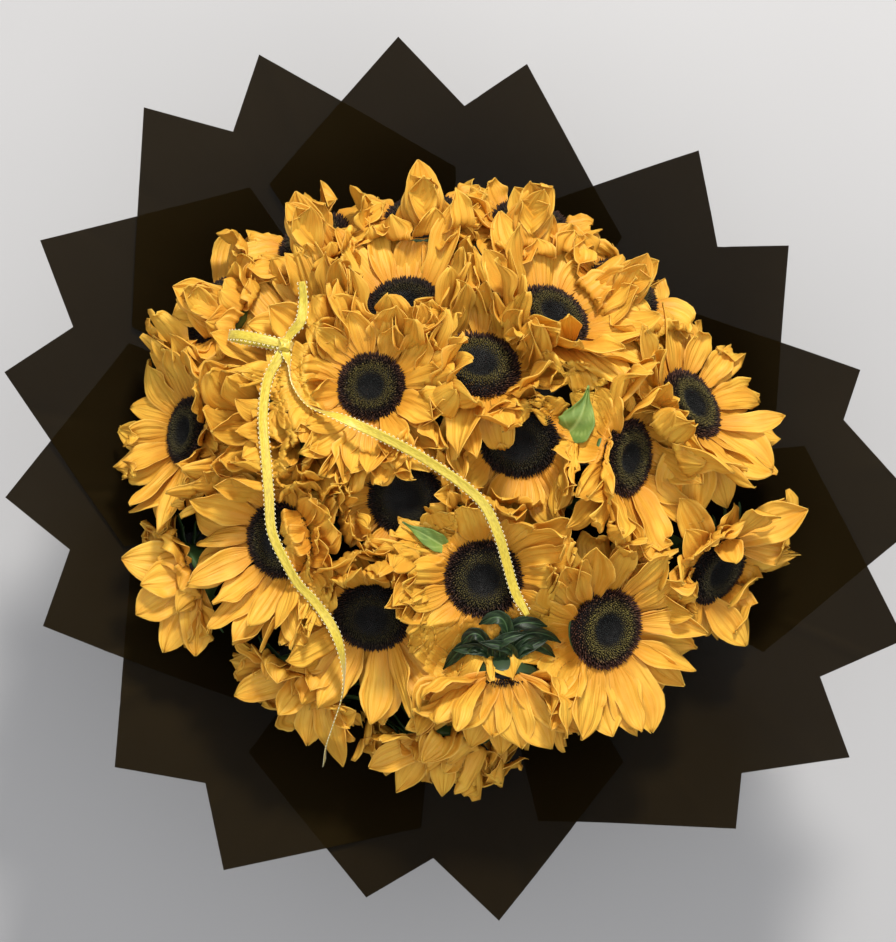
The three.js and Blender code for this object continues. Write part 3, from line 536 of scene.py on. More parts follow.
@dataclass(frozen=True)
class DiscFloretTissue(Finish):
    """Packed disc florets: dry, dark and matt, with a bright speck on the tip of some.

    The eye sees a red-brown speckled rim, an olive ring, and a sunken blue-black middle. The bright
    specks are pale floret tips and pollen on the ring and rim, and a painted glint in the middle.
    Shade is painted near black down between the florets and over the dome under them, and the
    darker blooms' discs are painted towards the same black, partly their own colour, partly shade.
    """

    name: str = "disc_floret_tissue"
    middle: str = "#0A0C0B"
    ring: str = "#6A5E2A"
    brown: str = "#241008"
    rim: str = "#46200F"
    # Near black: painted shade between and under the florets, and the black of the darker discs.
    black_and_gap_shade: str = "#050302"
    # Specks for the middle, ring and rim; the middle's grey one is a painted glint.
    specks_and_glints: tuple[str, str, str] = ("#2A3030", "#A0944A", "#8A5A44")
    roughness: float = 0.7

    def shader(self, tree: Tree) -> Socket:
        """Add the nodes that make the look, and give the shader's socket.

        Args:
            tree: The material's node tree.

        Returns:
            The shader's socket.
        """
        out, tip, own, spark = (
            add_node(tree, "ShaderNodeAttribute", {"attribute_name": key}).outputs["Fac"]
            for key in ("out", "tip", "own", "spark"))
        place = add_node(tree, "ShaderNodeTexCoord").outputs["Object"]
        grain = add_node(tree, "ShaderNodeTexNoise", {"Scale": 900.0, "Detail": 1.0},
                         {"Vector": place})
        shifted = add_node(tree, "ShaderNodeMath", {"operation": "MULTIPLY_ADD", 1: 0.16},
                           {0: grain.outputs["Fac"], 2: out})
        stops = [(0.08, self.middle), (0.48, self.middle), (0.6, self.ring), (0.72, self.ring),
                 (0.84, self.brown), (1.0, self.rim)]
        tips = add_node(tree, "ShaderNodeValToRGB", {"stops": stops},
                        {"Fac": shifted.outputs[0]}).outputs[0]
        # A bright speck on some florets' tips: pale tips and pollen on the ring and rim, a painted
        # glint in the middle.
        speck_and_glint = add_node(tree, "ShaderNodeValToRGB",
                          {"stops": list(zip((0.4, 0.66, 0.86), self.specks_and_glints))},
                          {"Fac": out}).outputs[0]
        few = add_node(tree, "ShaderNodeMapRange",
                       {"From Min": 0.55, "From Max": 1.0, "To Min": 0.0, "To Max": 0.85},
                       {"Value": spark})
        speckled_and_glinting = add_node(tree, "ShaderNodeMix", {"data_type": "RGBA"},
                            {0: few.outputs[0], 6: tips, 7: speck_and_glint}).outputs[2]
        # Darker blooms go towards near black, partly the disc's own colour and partly painted
        # shade.
        dark_and_shaded = add_node(tree, "ShaderNodeMix", {"data_type": "RGBA", 7: self.black_and_gap_shade},
                        {0: own, 6: speckled_and_glinting}).outputs[2]
        # Painted shade: each floret goes near black down towards its foot, between its neighbours.
        out_of_gap_shade = add_node(tree, "ShaderNodeMapRange",
                         {"From Min": 0.35, "From Max": 0.95, "To Min": 0.0, "To Max": 1.0},
                         {"Value": tip})
        depth = add_node(tree, "ShaderNodeRGB")
        depth.outputs[0].default_value = linear(self.black_and_gap_shade)
        colour = add_node(tree, "ShaderNodeMix", {"data_type": "RGBA"},
                          {0: out_of_gap_shade.outputs[0], 6: depth.outputs[0], 7: dark_and_shaded}).outputs[2]
        skin = add_node(tree, "ShaderNodeBsdfPrincipled",
                        {"Roughness": self.roughness, "Specular IOR Level": 0.3},
                        {"Base Color": colour})
        return skin.outputs[0]


@dataclass(frozen=True)
class GreenTissue(Finish):
    """Stems, bracts and leaves: waxy green tissue with paler veins and cut ends."""

    name: str = "green_tissue"
    deep: str = "#1A3016"
    fresh: str = "#3B642E"
    pale: str = "#8FA868"
    roughness: float = 0.5

    def shader(self, tree: Tree) -> Socket:
        """Add the nodes that make the look, and give the shader's socket.

        Args:
            tree: The material's node tree.

        Returns:
            The shader's socket.
        """
        place = add_node(tree, "ShaderNodeTexCoord").outputs["Object"]
        blotch = add_node(tree, "ShaderNodeTexNoise", {"Scale": 60.0, "Detail": 4.0},
                          {"Vector": place})
        base = add_node(tree, "ShaderNodeValToRGB",
                        {"stops": [(0.3, self.deep), (0.7, self.fresh)]},
                        {"Fac": blotch.outputs["Fac"]}).outputs[0]
        vein = add_node(tree, "ShaderNodeAttribute", {"attribute_name": "vein"}).outputs["Fac"]
        veined = add_node(tree, "ShaderNodeMix", {"data_type": "RGBA", 7: self.pale},
                          {0: vein, 6: base}).outputs[2]
        bump = add_node(tree, "ShaderNodeBump", {"Strength": 0.4, "Distance": 0.0005},
                        {"Height": blotch.outputs["Fac"]})
        skin = add_node(tree, "ShaderNodeBsdfPrincipled",
                        {"Roughness": self.roughness, "Specular IOR Level": 0.35},
                        {"Base Color": veined, "Normal": bump.outputs[0]})
        return skin.outputs[0]


@dataclass(frozen=True)
class FloristFilm(Finish):
    """Extruded black polypropylene film, smoked and semi-matt.

    One layer lets some light through and looks brown-black, and layers on each other go black.
    """

    name: str = "florist_film"
    smoke: str = "#110B03"
    haze: str = "#191308"
    mirror: str = "#AC8E56"
    roughness: float = 0.5
    shine: float = 0.05  # a matted film mirrors less than a clear one
    alpha: float = 0.875  # of each of a sheet's two faces

    def shader(self, tree: Tree) -> Socket:
        """Add the nodes that make the look, and give the shader's socket.

        Args:
            tree: The material's node tree.

        Returns:
            The shader's socket.
        """
        place = add_node(tree, "ShaderNodeTexCoord").outputs["Object"]
        cloud = add_node(tree, "ShaderNodeTexNoise", {"Scale": 7.0, "Detail": 3.0},
                         {"Vector": place})
        colour = add_node(tree, "ShaderNodeValToRGB",
                          {"stops": [(0.3, self.smoke), (0.75, self.haze)]},
                          {"Fac": cloud.outputs["Fac"]}).outputs[0]
        fine = add_node(tree, "ShaderNodeTexNoise", {"Scale": 320.0, "Detail": 2.0},
                        {"Vector": place})
        bump = add_node(tree, "ShaderNodeBump", {"Strength": 0.08, "Distance": 0.0003},
                        {"Height": fine.outputs["Fac"]})
        skin = add_node(tree, "ShaderNodeBsdfPrincipled",
                        {"Roughness": self.roughness, "Alpha": self.alpha, "IOR": 1.49,
                         "Specular IOR Level": self.shine, "Specular Tint": linear(self.mirror)},
                        {"Base Color": colour, "Normal": bump.outputs[0]})
        return skin.outputs[0]


@dataclass(frozen=True)
class SatinRibbon(Finish):
    """Woven satin: smooth floats along the ribbon, with a metallic thread in its edges."""

    name: str
    body: str
    # light and shade are a painted highlight and painted shade in the weave.
    light: str
    shade: str
    thread_spacing: float = 0.7  # drawn coarser than the real 0.15 mm, which is too fine to show
    roughness: float = 0.42

    def shader(self, tree: Tree) -> Socket:
        """Add the nodes that make the look, and give the shader's socket.

        Args:
            tree: The material's node tree.

        Returns:
            The shader's socket.
        """
        along, across = (
            add_node(tree, "ShaderNodeAttribute", {"attribute_name": key}).outputs["Fac"]
            for key in ("along", "across"))
        place = add_node(tree, "ShaderNodeCombineXYZ", links={"X": across, "Y": along})
        threads = add_node(tree, "ShaderNodeMapping",
                           {"Scale": (1 / self.thread_spacing, 1 / (4 * self.thread_spacing), 1.0)},
                           {"Vector": place.outputs[0]})
        weave = add_node(tree, "ShaderNodeTexVoronoi", {"Scale": 1.0},
                         {"Vector": threads.outputs[0]})
        # The weave ramp paints a highlight at the middle of each thread float and shade towards its
        # edges.
        colour = add_node(tree, "ShaderNodeValToRGB",
                          {"stops": [(0.0, self.light), (0.45, self.body), (0.9, self.shade)]},
                          {"Fac": weave.outputs["Distance"]}).outputs[0]
        bump = add_node(tree, "ShaderNodeBump", {"Strength": 0.3, "Distance": 0.0002},
                        {"Height": weave.outputs["Distance"]})
        skin = add_node(tree, "ShaderNodeBsdfPrincipled",
                        {"Roughness": self.roughness, "Anisotropic": 0.4, "Sheen Weight": 0.25},
                        {"Base Color": colour, "Normal": bump.outputs[0]})
        return skin.outputs[0]


@dataclass(frozen=True)
class JuteString(Finish):
    """Twisted jute: dull, hairy, with a spiral lay."""

    name: str = "jute_string"
    # light is the strands' crests; dark is painted shade in the grooves of the lay.
    light: str = "#C4A878"
    dark: str = "#7A5F38"
    roughness: float = 0.85

    def shader(self, tree: Tree) -> Socket:
        """Add the nodes that make the look, and give the shader's socket.

        Args:
            tree: The material's node tree.

        Returns:
            The shader's socket.
        """
        along, across = (
            add_node(tree, "ShaderNodeAttribute", {"attribute_name": key}).outputs["Fac"]
            for key in ("along", "across"))
        lay = add_node(tree, "ShaderNodeMath", {"operation": "MULTIPLY_ADD", 1: 1.1},
                       {0: along, 2: across})
        place = add_node(tree, "ShaderNodeCombineXYZ", links={"X": lay.outputs[0]})
        twist = add_node(tree, "ShaderNodeTexWave", {"Scale": 0.35, "Distortion": 1.5},
                         {"Vector": place.outputs[0]})
        # Darker in the grooves of the lay, where the bump sinks: painted shade between the strands.
        colour = add_node(tree, "ShaderNodeValToRGB",
                          {"stops": [(0.1, self.dark), (0.7, self.light)]},
                          {"Fac": twist.outputs["Fac"]}).outputs[0]
        bump = add_node(tree, "ShaderNodeBump", {"Strength": 0.6, "Distance": 0.0006},
                        {"Height": twist.outputs["Fac"]})
        skin = add_node(tree, "ShaderNodeBsdfPrincipled",
                        {"Roughness": self.roughness, "Specular IOR Level": 0.2},
                        {"Base Color": colour, "Normal": bump.outputs[0]})
        return skin.outputs[0]


@dataclass(frozen=True)
class StudioFloor(Finish):
    """Plain pale paper under the bunch."""

    name: str = "studio_paper"
    paper: str = "#AEAEB0"
    grain: str = "#A9A9AB"

    def shader(self, tree: Tree) -> Socket:
        """Add the nodes that make the look, and give the shader's socket.

        Args:
            tree: The material's node tree.

        Returns:
            The shader's socket.
        """
        place = add_node(tree, "ShaderNodeTexCoord").outputs["Object"]
        cloud = add_node(tree, "ShaderNodeTexNoise", {"Scale": 2.0}, {"Vector": place})
        colour = add_node(tree, "ShaderNodeValToRGB",
                          {"stops": [(0.3, self.grain), (0.7, self.paper)]},
                          {"Fac": cloud.outputs["Fac"]}).outputs[0]
        skin = add_node(tree, "ShaderNodeBsdfPrincipled", {"Roughness": 0.9},
                        {"Base Color": colour})
        return skin.outputs[0]


# Blooms ----------------------------------------------------------------------------------

NEIGHBOUR_REACH = 150.0
LEAN_STEP = math.radians(16)
LEAN_MOST = math.radians(34)


@dataclass
class Bloom:
    """A sunflower's place: where its disc is, which way it faces and how open it is.

    over says how far it spreads over its neighbours. opened is 1 for a flat bloom and 0 for one
    that is still closed. dark is 0 for a disc with an olive ring and 1 for one painted all black;
    the black is partly the disc's own darker colour and partly painted shade on discs in shade.
    disc is the disc's share of the full size.
    """

    name: str
    at: tuple[float, float]
    compass: float
    tilt: float
    lift: float
    over: float
    opened: float
    dark: float = 0.5
    disc: float = 1.0
    walls: list[tuple[Array, float]] = field(default_factory=list)

    @property
    def axis(self) -> Array:
        """The direction that the disc faces."""
        tilt = math.radians(self.tilt)
        return on_circle(math.sin(tilt), self.compass, math.cos(tilt))

    @property
    def centre(self) -> Array:
        """The middle of the disc's rim."""
        x, y = self.at
        return np.array([x, y, dome_height(x, y) + self.lift])

    @property
    def across(self) -> Array:
        """The bloom's own first direction in the plane of its disc."""
        return unit(np.cross(UP, self.axis))

    @property
    def along(self) -> Array:
        """The bloom's own second direction in the plane of its disc."""
        return np.cross(self.axis, self.across)

    def random(self, purpose: int) -> np.random.Generator:
        """Chance for one purpose, the same each time."""
        return np.random.default_rng(int(self.name) * 7919 + purpose)

    def place(self, points: Array) -> Array:
        """Points given in the disc's own directions, as real points."""
        basis = np.stack([self.across, self.along, self.axis])
        return self.centre + points @ basis


BLOOMS = (
    Bloom("01", (-56, 61), 120, 12, 5, 1.5, 0.9, 0.6, 0.86),
    Bloom("02", (16, 75), 80, 38, 0, 0, 0.7, 0.4, 1.08),
    Bloom("03", (-34, 115), 100, 38, 0, 0, 0.9, 0.9),
    Bloom("04", (66, 109), 55, 46, 4, 1, 0.8, 0.6),
    Bloom("05", (43, 25), 270, 28, -8, -0.5, 0.6, 0.95, 1.03),
    Bloom("06", (115, 14), 352, 50, 4, 0.8, 0.8, 0.6),
    Bloom("07", (162, 50), 34, 50, 0, 1.4, 0.9, 0.5),
    Bloom("08", (-33, -13), 200, 14, -6, -1, 0.6, 0.95),
    Bloom("09", (19, -67), 250, 8, 2, 1, 0.8, 0.6),
    Bloom("10", (102, -102), 345, 30, 8, 2, 1, 0.2, 1.06),
    Bloom("11", (-56, -93), 260, 28, -2, 0, 0.7, 0.9),
    Bloom("12", (-118, -42), 190, 32, 4, 1, 0.8, 0.8),
    Bloom("13", (-184, 32), 170, 54, 0, 1, 0.9, 0.8, 0.9),
    Bloom("14", (181, -63), 326, 50, 0, 0.4, 0.9, 0.9),
    Bloom("15", (-103, 95), 130, 42, 0, 0.5, 0.7, 0.9),
    Bloom("16", (32, -140), 270, 78, 0, 0.5, 0.8, 0.8),
    Bloom("17", (116, 129), 50, 50, -6, -1.0, 0.8, 0.8),
    Bloom("18", (-192, -71), 200, 66, -18, -2, 0.9, 0.8),
    Bloom("19", (-107, -146), 235, 62, -12, -1, 0.7, 0.8),
    Bloom("20", (-97, 164), 120, 50, -4, -0.5, 0.8, 0.8),
    Bloom("21", (-21, 181), 95, 55, -4, -1, 0.8, 0.8),
    Bloom("22", (52, 175), 75, 50, -4, -1, 0.8, 0.8),
    Bloom("23", (-10, -190), 265, 68, -16, -1, 0.7, 0.8),
    Bloom("24", (-166, 116), 145, 55, 0, -0.5, 0.8, 0.8),
    Bloom("25", (-112, 36), 200, 18, 2, 0, 0.3, 1.0),
)
CLOSED = "25"  # a bloom that shows no disc
TANGLED = ("20", "21", "22")  # blooms whose petals are one body at the far edge of the bunch
SHADED = ("17", "20", "21", "22", "24")  # blooms at the edge, half covered by the next ones


def raise_walls(blooms: tuple[Bloom, ...]) -> None:
    """Give each pair of near blooms the wall between them, which leans towards the lower one.

    Args:
        blooms: All blooms of the bunch.
    """
    for i, first in enumerate(blooms):
        for second in blooms[i + 1 :]:
            apart = second.centre - first.centre
            if np.linalg.norm(apart) > NEIGHBOUR_REACH:
                continue
            outward = unit(first.axis + second.axis)
            lean = float(np.clip((first.over - second.over) * LEAN_STEP, -LEAN_MOST, LEAN_MOST))
            flat = unit(apart - outward * (apart @ outward))
            normal = flat * math.cos(lean) - outward * math.sin(lean)
            offset = float(normal @ ((first.centre + second.centre) / 2))
            first.walls.append((normal, offset))
            second.walls.append((-normal, -offset))


def wrap_height(radius: Array) -> Array:
    """Height of the wrap over its neck at a distance from the axis."""
    upper = np.array([row for row in WRAP_SECTION if row[1] > BINDING_HEIGHT])
    return np.interp(radius, upper[:, 0], upper[:, 1])


# How far the petals reach from the axis before the wrap presses them up: compass angle, reach.
PETAL_REACH = (
    (-180, 222), (-166, 232), (-155, 237), (-146, 222), (-139, 199), (-125, 202), (-113, 217),
    (-104, 190), (-92, 218), (-73, 197), (-61, 204), (-52, 229), (-40, 233), (-29, 229), (-16, 227),
    (-6, 233), (5, 222), (12, 223), (25, 204), (34, 193), (40, 197), (48, 194), (57, 184),
    (65, 196), (75, 199), (90, 201), (106, 200), (115, 206), (121, 217), (138, 224), (143, 216),
    (153, 230), (162, 240), (170, 241), (180, 222),
)


def petal_reach(x: Array, y: Array) -> Array:
    """How far petals may reach from the axis at the compass angles of points."""
    return np.interp(np.degrees(np.arctan2(y, x)), *np.array(PETAL_REACH, float).T)


@dataclass(frozen=True)
class RayRow:
    """One row of petals round a disc."""

    count: int
    rise: float  # degrees over the plane of the disc
    closing: float  # degrees more in a closed bloom
    long: float
    wide: float
    margin: float  # how far from the neighbours its petals stay
    share: float
    root_height: float


@dataclass(frozen=True)
class Sector:
    """The petals of a bloom that head between two compass angles, seen from above.

    long is their share of the length, and free is how far they lie over a neighbour.
    """

    start: float
    end: float
    long: float = 1.0
    free: float = 0.0


SECTORS = {bloom: tuple(Sector(*row) for row in rows) for bloom, rows in {
    "01": ((-30, 40, 0.85), (50, 120, 0.7)),
    "02": ((230, 330, 0.9, 14),),
    "03": ((40, 160, 1.2, 50), (200, 340, 0.7)),
    "04": ((30, 130, 1.15, 50), (300, 360, 1.0, 12)),
    "05": ((20, 160, 0.5),),
    "06": ((120, 250, 0.9, 9), (270, 360, 1.15, 12)),
    "07": ((90, 250, 1.0, 18), (250, 310, 1.1, 14)),
    "08": ((-60, 60, 0.6),),
    "11": ((215, 330, 1.1, 14),),
    "12": ((-60, 80, 0.55), (150, 280, 1.0, 10)),
    "13": ((-60, 60, 0.5),),
    "14": ((60, 265, 0.5),),
    "15": ((90, 230, 1.05, 40), (-80, 0, 0.4)),
    "16": ((10, 170, 0.3), (200, 340, 1.15, 12)),
    "17": ((-40, 140, 0.6, 10), (140, 320, 0.7)),
    "18": ((-70, 110, 0.4), (110, 290, 0.55)),
    "19": ((-50, 130, 0.5), (130, 310, 0.6)),
    "20": ((-150, 30, 0.5), (30, 210, 0.6, 10)),
    "21": ((185, 355, 0.5), (5, 175, 0.5, 10)),
    "22": ((165, 345, 0.5), (-15, 165, 0.5, 10)),
    "23": ((20, 160, 0.8, 8), (180, 360, 1.15)),
    "24": ((-120, 60, 0.5),),
}.items()}


@dataclass(frozen=True)
class ExtraRay:
    """A petal that lies in a way of its own: compass angle and slope over the floor, and shape.

    free is how far it may pass the wall to a neighbour, and beyond how far the bunch's outline.
    root is where it grows, as a share of the disc's radius: 1 is the rim on its own side, -1 the
    rim on the opposite side.
    """

    compass: float
    slope: float
    length: float
    width: float
    curl: float = 0.0
    tip_curl: float = 0.2
    twist: float = 0.0
    channel: float = 0.5
    free: float = 1.0
    beyond: float = 0.0
    root: float = 1.0


EXTRA_RAYS = {bloom: tuple(ExtraRay(*row) for row in rows) for bloom, rows in {
    "01": ((265, 4, 46, 22, -0.2, 0.2, 0.0, 0.5, 8), (170, 20, 50, 24, 0.2, 0.6, 0.0, 0.5, 4)),
    "02": ((284, -4, 44, 24, -0.5, 0.1, 0.0, 0.5, 30), (250, -4, 42, 22, -0.5, 0.2, 0.0, 0.5, 26)),
    "03": ((140, 54, 30, 25, 0.1, -0.2, 0.0, 0.5, 3, 0.0, -1.1),
           (80, 50, 28, 27, 0.1, 0.0, 0.0, 0.5, 3, 0.0, -1.15)),
    "04": ((96, 50, 31, 17, 0.5, 0.4, 0.0, 0.5, 3, 0.0, -1.0),
           (200, 5, 44, 24, 0.0, 0.2, 0.0, 0.5, 9)),
    "06": ((108, 34, 46, 26, 0.2, 0.6, 0.4, 1.2, 9), (140, 44, 46, 24, 0.3, 0.8, 0.3, 1.3, 5)),
    "07": ((272, -10, 58, 27, -0.2, 0.2, 0.2, 0.6, 24),
           (292, -10, 54, 25, -0.2, 0.4, -0.2, 0.5, 20),
           (250, -8, 52, 25, -0.2, 0.5, 0.1, 0.6, 16)),
    "10": ((118, 42, 48, 26, 0.3, 0.5), (88, 40, 50, 28, 0.2, 0.4)),
    "12": ((185, 42, 28, 24, 0.2, 0.9, 0.2, 0.8, 1.0, 0.0, -1.1),
           (215, 44, 30, 24, 0.3, 0.7, -0.3, 0.5, 1.0, 0.0, -1.1),
           (150, 46, 28, 20, 0.3, 0.6, 0.4, 0.5, 1.0, 0.0, -1.1)),
    "14": ((-70, 44, 24, 20, 0.1, 0.3, -0.2, 0.5, 4, 0.0, -1.1),
           (120, 16, 42, 25, 0.1, 0.4, 0.1, 0.6, 14), (22, 8, 56, 28, 0.0, 0.5, 0.0, 0.5, 20, 20),
           (-8, 6, 46, 22, 0.0, 0.2, 0.0, 0.5, 9, 9), (-50, 6, 44, 22, -0.4, 0.4, 0.0, 0.5, 9, 6)),
    "15": ((140, 36, 42, 34, -0.2, 0.2, 0.1, 0.9, 6, 0.0, -0.5),
           (172, 30, 44, 28, -0.2, 0.3, 0.2, 0.7, 6, 0.0, -0.2)),
    "16": ((212, 4, 52, 25, -0.3, 0.1, 0.1, 0.6, 12), (234, 4, 42, 23, -0.3, 0.6, 0.2, 0.7, 12),
           (262, 2, 40, 23, -0.3, 0.3, -0.1, 0.6, 12, 4),
           (282, 2, 50, 27, -0.3, 0.1, 0.1, 0.5, 12, 4),
           (300, 2, 56, 27, -0.3, 0.2, 0.2, 0.5, 16, 4),
           (320, 2, 58, 25, -0.3, 0.2, 0.1, 0.5, 20, 4),
           (270, -30, 58, 26, 0.2, 0.2, 0.1, 0.4, 9, 6),
           (250, -28, 56, 24, 0.2, 0.2, 0.1, 0.4, 9, 6)),
    "17": ((6, 30, 42, 23, 0.0, 0.4, 0.1, 0.3, 30, 8, -1.1),
           (36, 24, 46, 25, 0.0, 0.3, -0.2, 0.3, 30, 8, -1.0),
           (64, 26, 46, 24, 0.1, -0.3, 0.2, 0.4, 30, 8, -1.1),
           (92, 32, 42, 22, 0.0, 0.6, -0.2, 0.3, 30, 8, -1.0),
           (50, 42, 40, 23, 0.0, 0.2, 0.1, 0.4, 30, 8, -0.8)),
    "18": ((172, 8, 48, 30, 0.0, 0.0, 0.05, 0.3, 14, 40),
           (212, 2, 48, 30, 0.0, 0.0, 0.05, 0.3, 12, 40),
           (244, -6, 52, 26, 0.0, 0.1, -0.1, 0.4, 12, 30),
           (268, -2, 48, 24, -0.1, 0.2, -0.2, 0.5, 12, 26),
           (192, 20, 36, 26, 0.0, 0.2, 0.05, 0.5, 9, 20)),
    "19": ((201, 0, 50, 23, -0.2, 0.1, 0.1, 0.6, 12, 30),
           (262, -6, 46, 22, -0.2, 0.0, 0.1, 0.6, 9, 30),
           (286, 0, 60, 21, -0.2, 0.1, 0.2, 0.7, 18, 30),
           (232, 20, 34, 22, 0.0, 0.2, 0.0, 0.7, 9, 20)),
    "20": ((80, 30, 46, 23, 0.1, 0.4, 0.1, 0.3, 30, 8, -1.1),
           (106, 24, 50, 26, 0.0, 0.2, -0.2, 0.3, 30, 8, -1.0),
           (132, 26, 48, 24, 0.1, -0.3, 0.2, 0.4, 30, 8, -1.1),
           (160, 32, 44, 23, 0.0, 0.6, -0.2, 0.3, 30, 8, -1.0),
           (118, 42, 44, 24, 0.0, 0.3, 0.1, 0.4, 30, 8, -0.8),
           (72, 24, 38, 25, 0.0, 0.2, 0.1, 0.4, 30, 8, -0.4)),
    "21": ((48, 30, 44, 22, 0.1, 0.5, 0.1, 0.3, 30, 8, -1.1),
           (74, 24, 48, 25, 0.0, 0.2, -0.2, 0.3, 30, 8, -1.0),
           (98, 22, 50, 26, 0.0, -0.2, 0.2, 0.3, 30, 8, -1.1),
           (124, 26, 46, 23, 0.1, 0.4, -0.2, 0.4, 30, 8, -1.0),
           (150, 32, 42, 22, 0.0, 0.5, 0.1, 0.3, 30, 8, -1.1),
           (86, 42, 42, 23, 0.0, 0.2, 0.1, 0.4, 30, 8, -0.8),
           (258, -6, 38, 24, -0.3, 0.2, 0.1, 0.4, 24),
           (284, -6, 38, 24, -0.3, 0.2, -0.1, 0.4, 24)),
    "22": ((26, 30, 42, 22, 0.1, 0.5, 0.1, 0.3, 30, 8, -1.1),
           (52, 26, 46, 25, 0.0, 0.2, -0.2, 0.3, 30, 8, -1.0),
           (76, 22, 50, 26, 0.0, -0.2, 0.2, 0.3, 30, 8, -1.1),
           (102, 26, 46, 23, 0.1, 0.4, -0.2, 0.4, 30, 8, -1.0),
           (130, 32, 42, 22, 0.0, 0.5, 0.1, 0.3, 30, 8, -1.1),
           (64, 42, 42, 23, 0.0, 0.2, 0.1, 0.4, 30, 8, -0.8),
           (120, 24, 36, 24, 0.0, 0.2, 0.1, 0.4, 30, 8, -0.4)),
    "23": ((236, -8, 48, 19, -0.2, 0.1, 0.1, 0.6, 14, 26),
           (270, -14, 42, 18, -0.2, 0.3, 0.2, 0.6, 14, 22),
           (205, 6, 46, 22, -0.2, 0.3, 0.2, 0.6, 18, 22)),
    "24": ((104, 30, 42, 22, 0.1, 0.5, 0.1, 0.3, 30, 8, -1.1),
           (132, 24, 48, 25, 0.0, 0.2, -0.2, 0.3, 30, 8, -1.0),
           (158, 26, 46, 25, 0.0, -0.2, 0.2, 0.3, 30, 8, -1.1),
           (184, 32, 42, 22, 0.1, 0.4, -0.2, 0.4, 30, 8, -1.0),
           (145, 42, 42, 23, 0.0, 0.2, 0.1, 0.4, 30, 8, -0.8),
           (196, 24, 38, 25, 0.0, 0.2, 0.1, 0.4, 30, 8, -0.4)),
    "25": ((200, 30, 40, 26, 0.2, 0.6, 0.2, 0.8, 6, 0, -0.6),
           (120, 34, 40, 26, 0.2, 0.6, 0.2, 0.8, 6, 0, -0.6)),
}.items()}


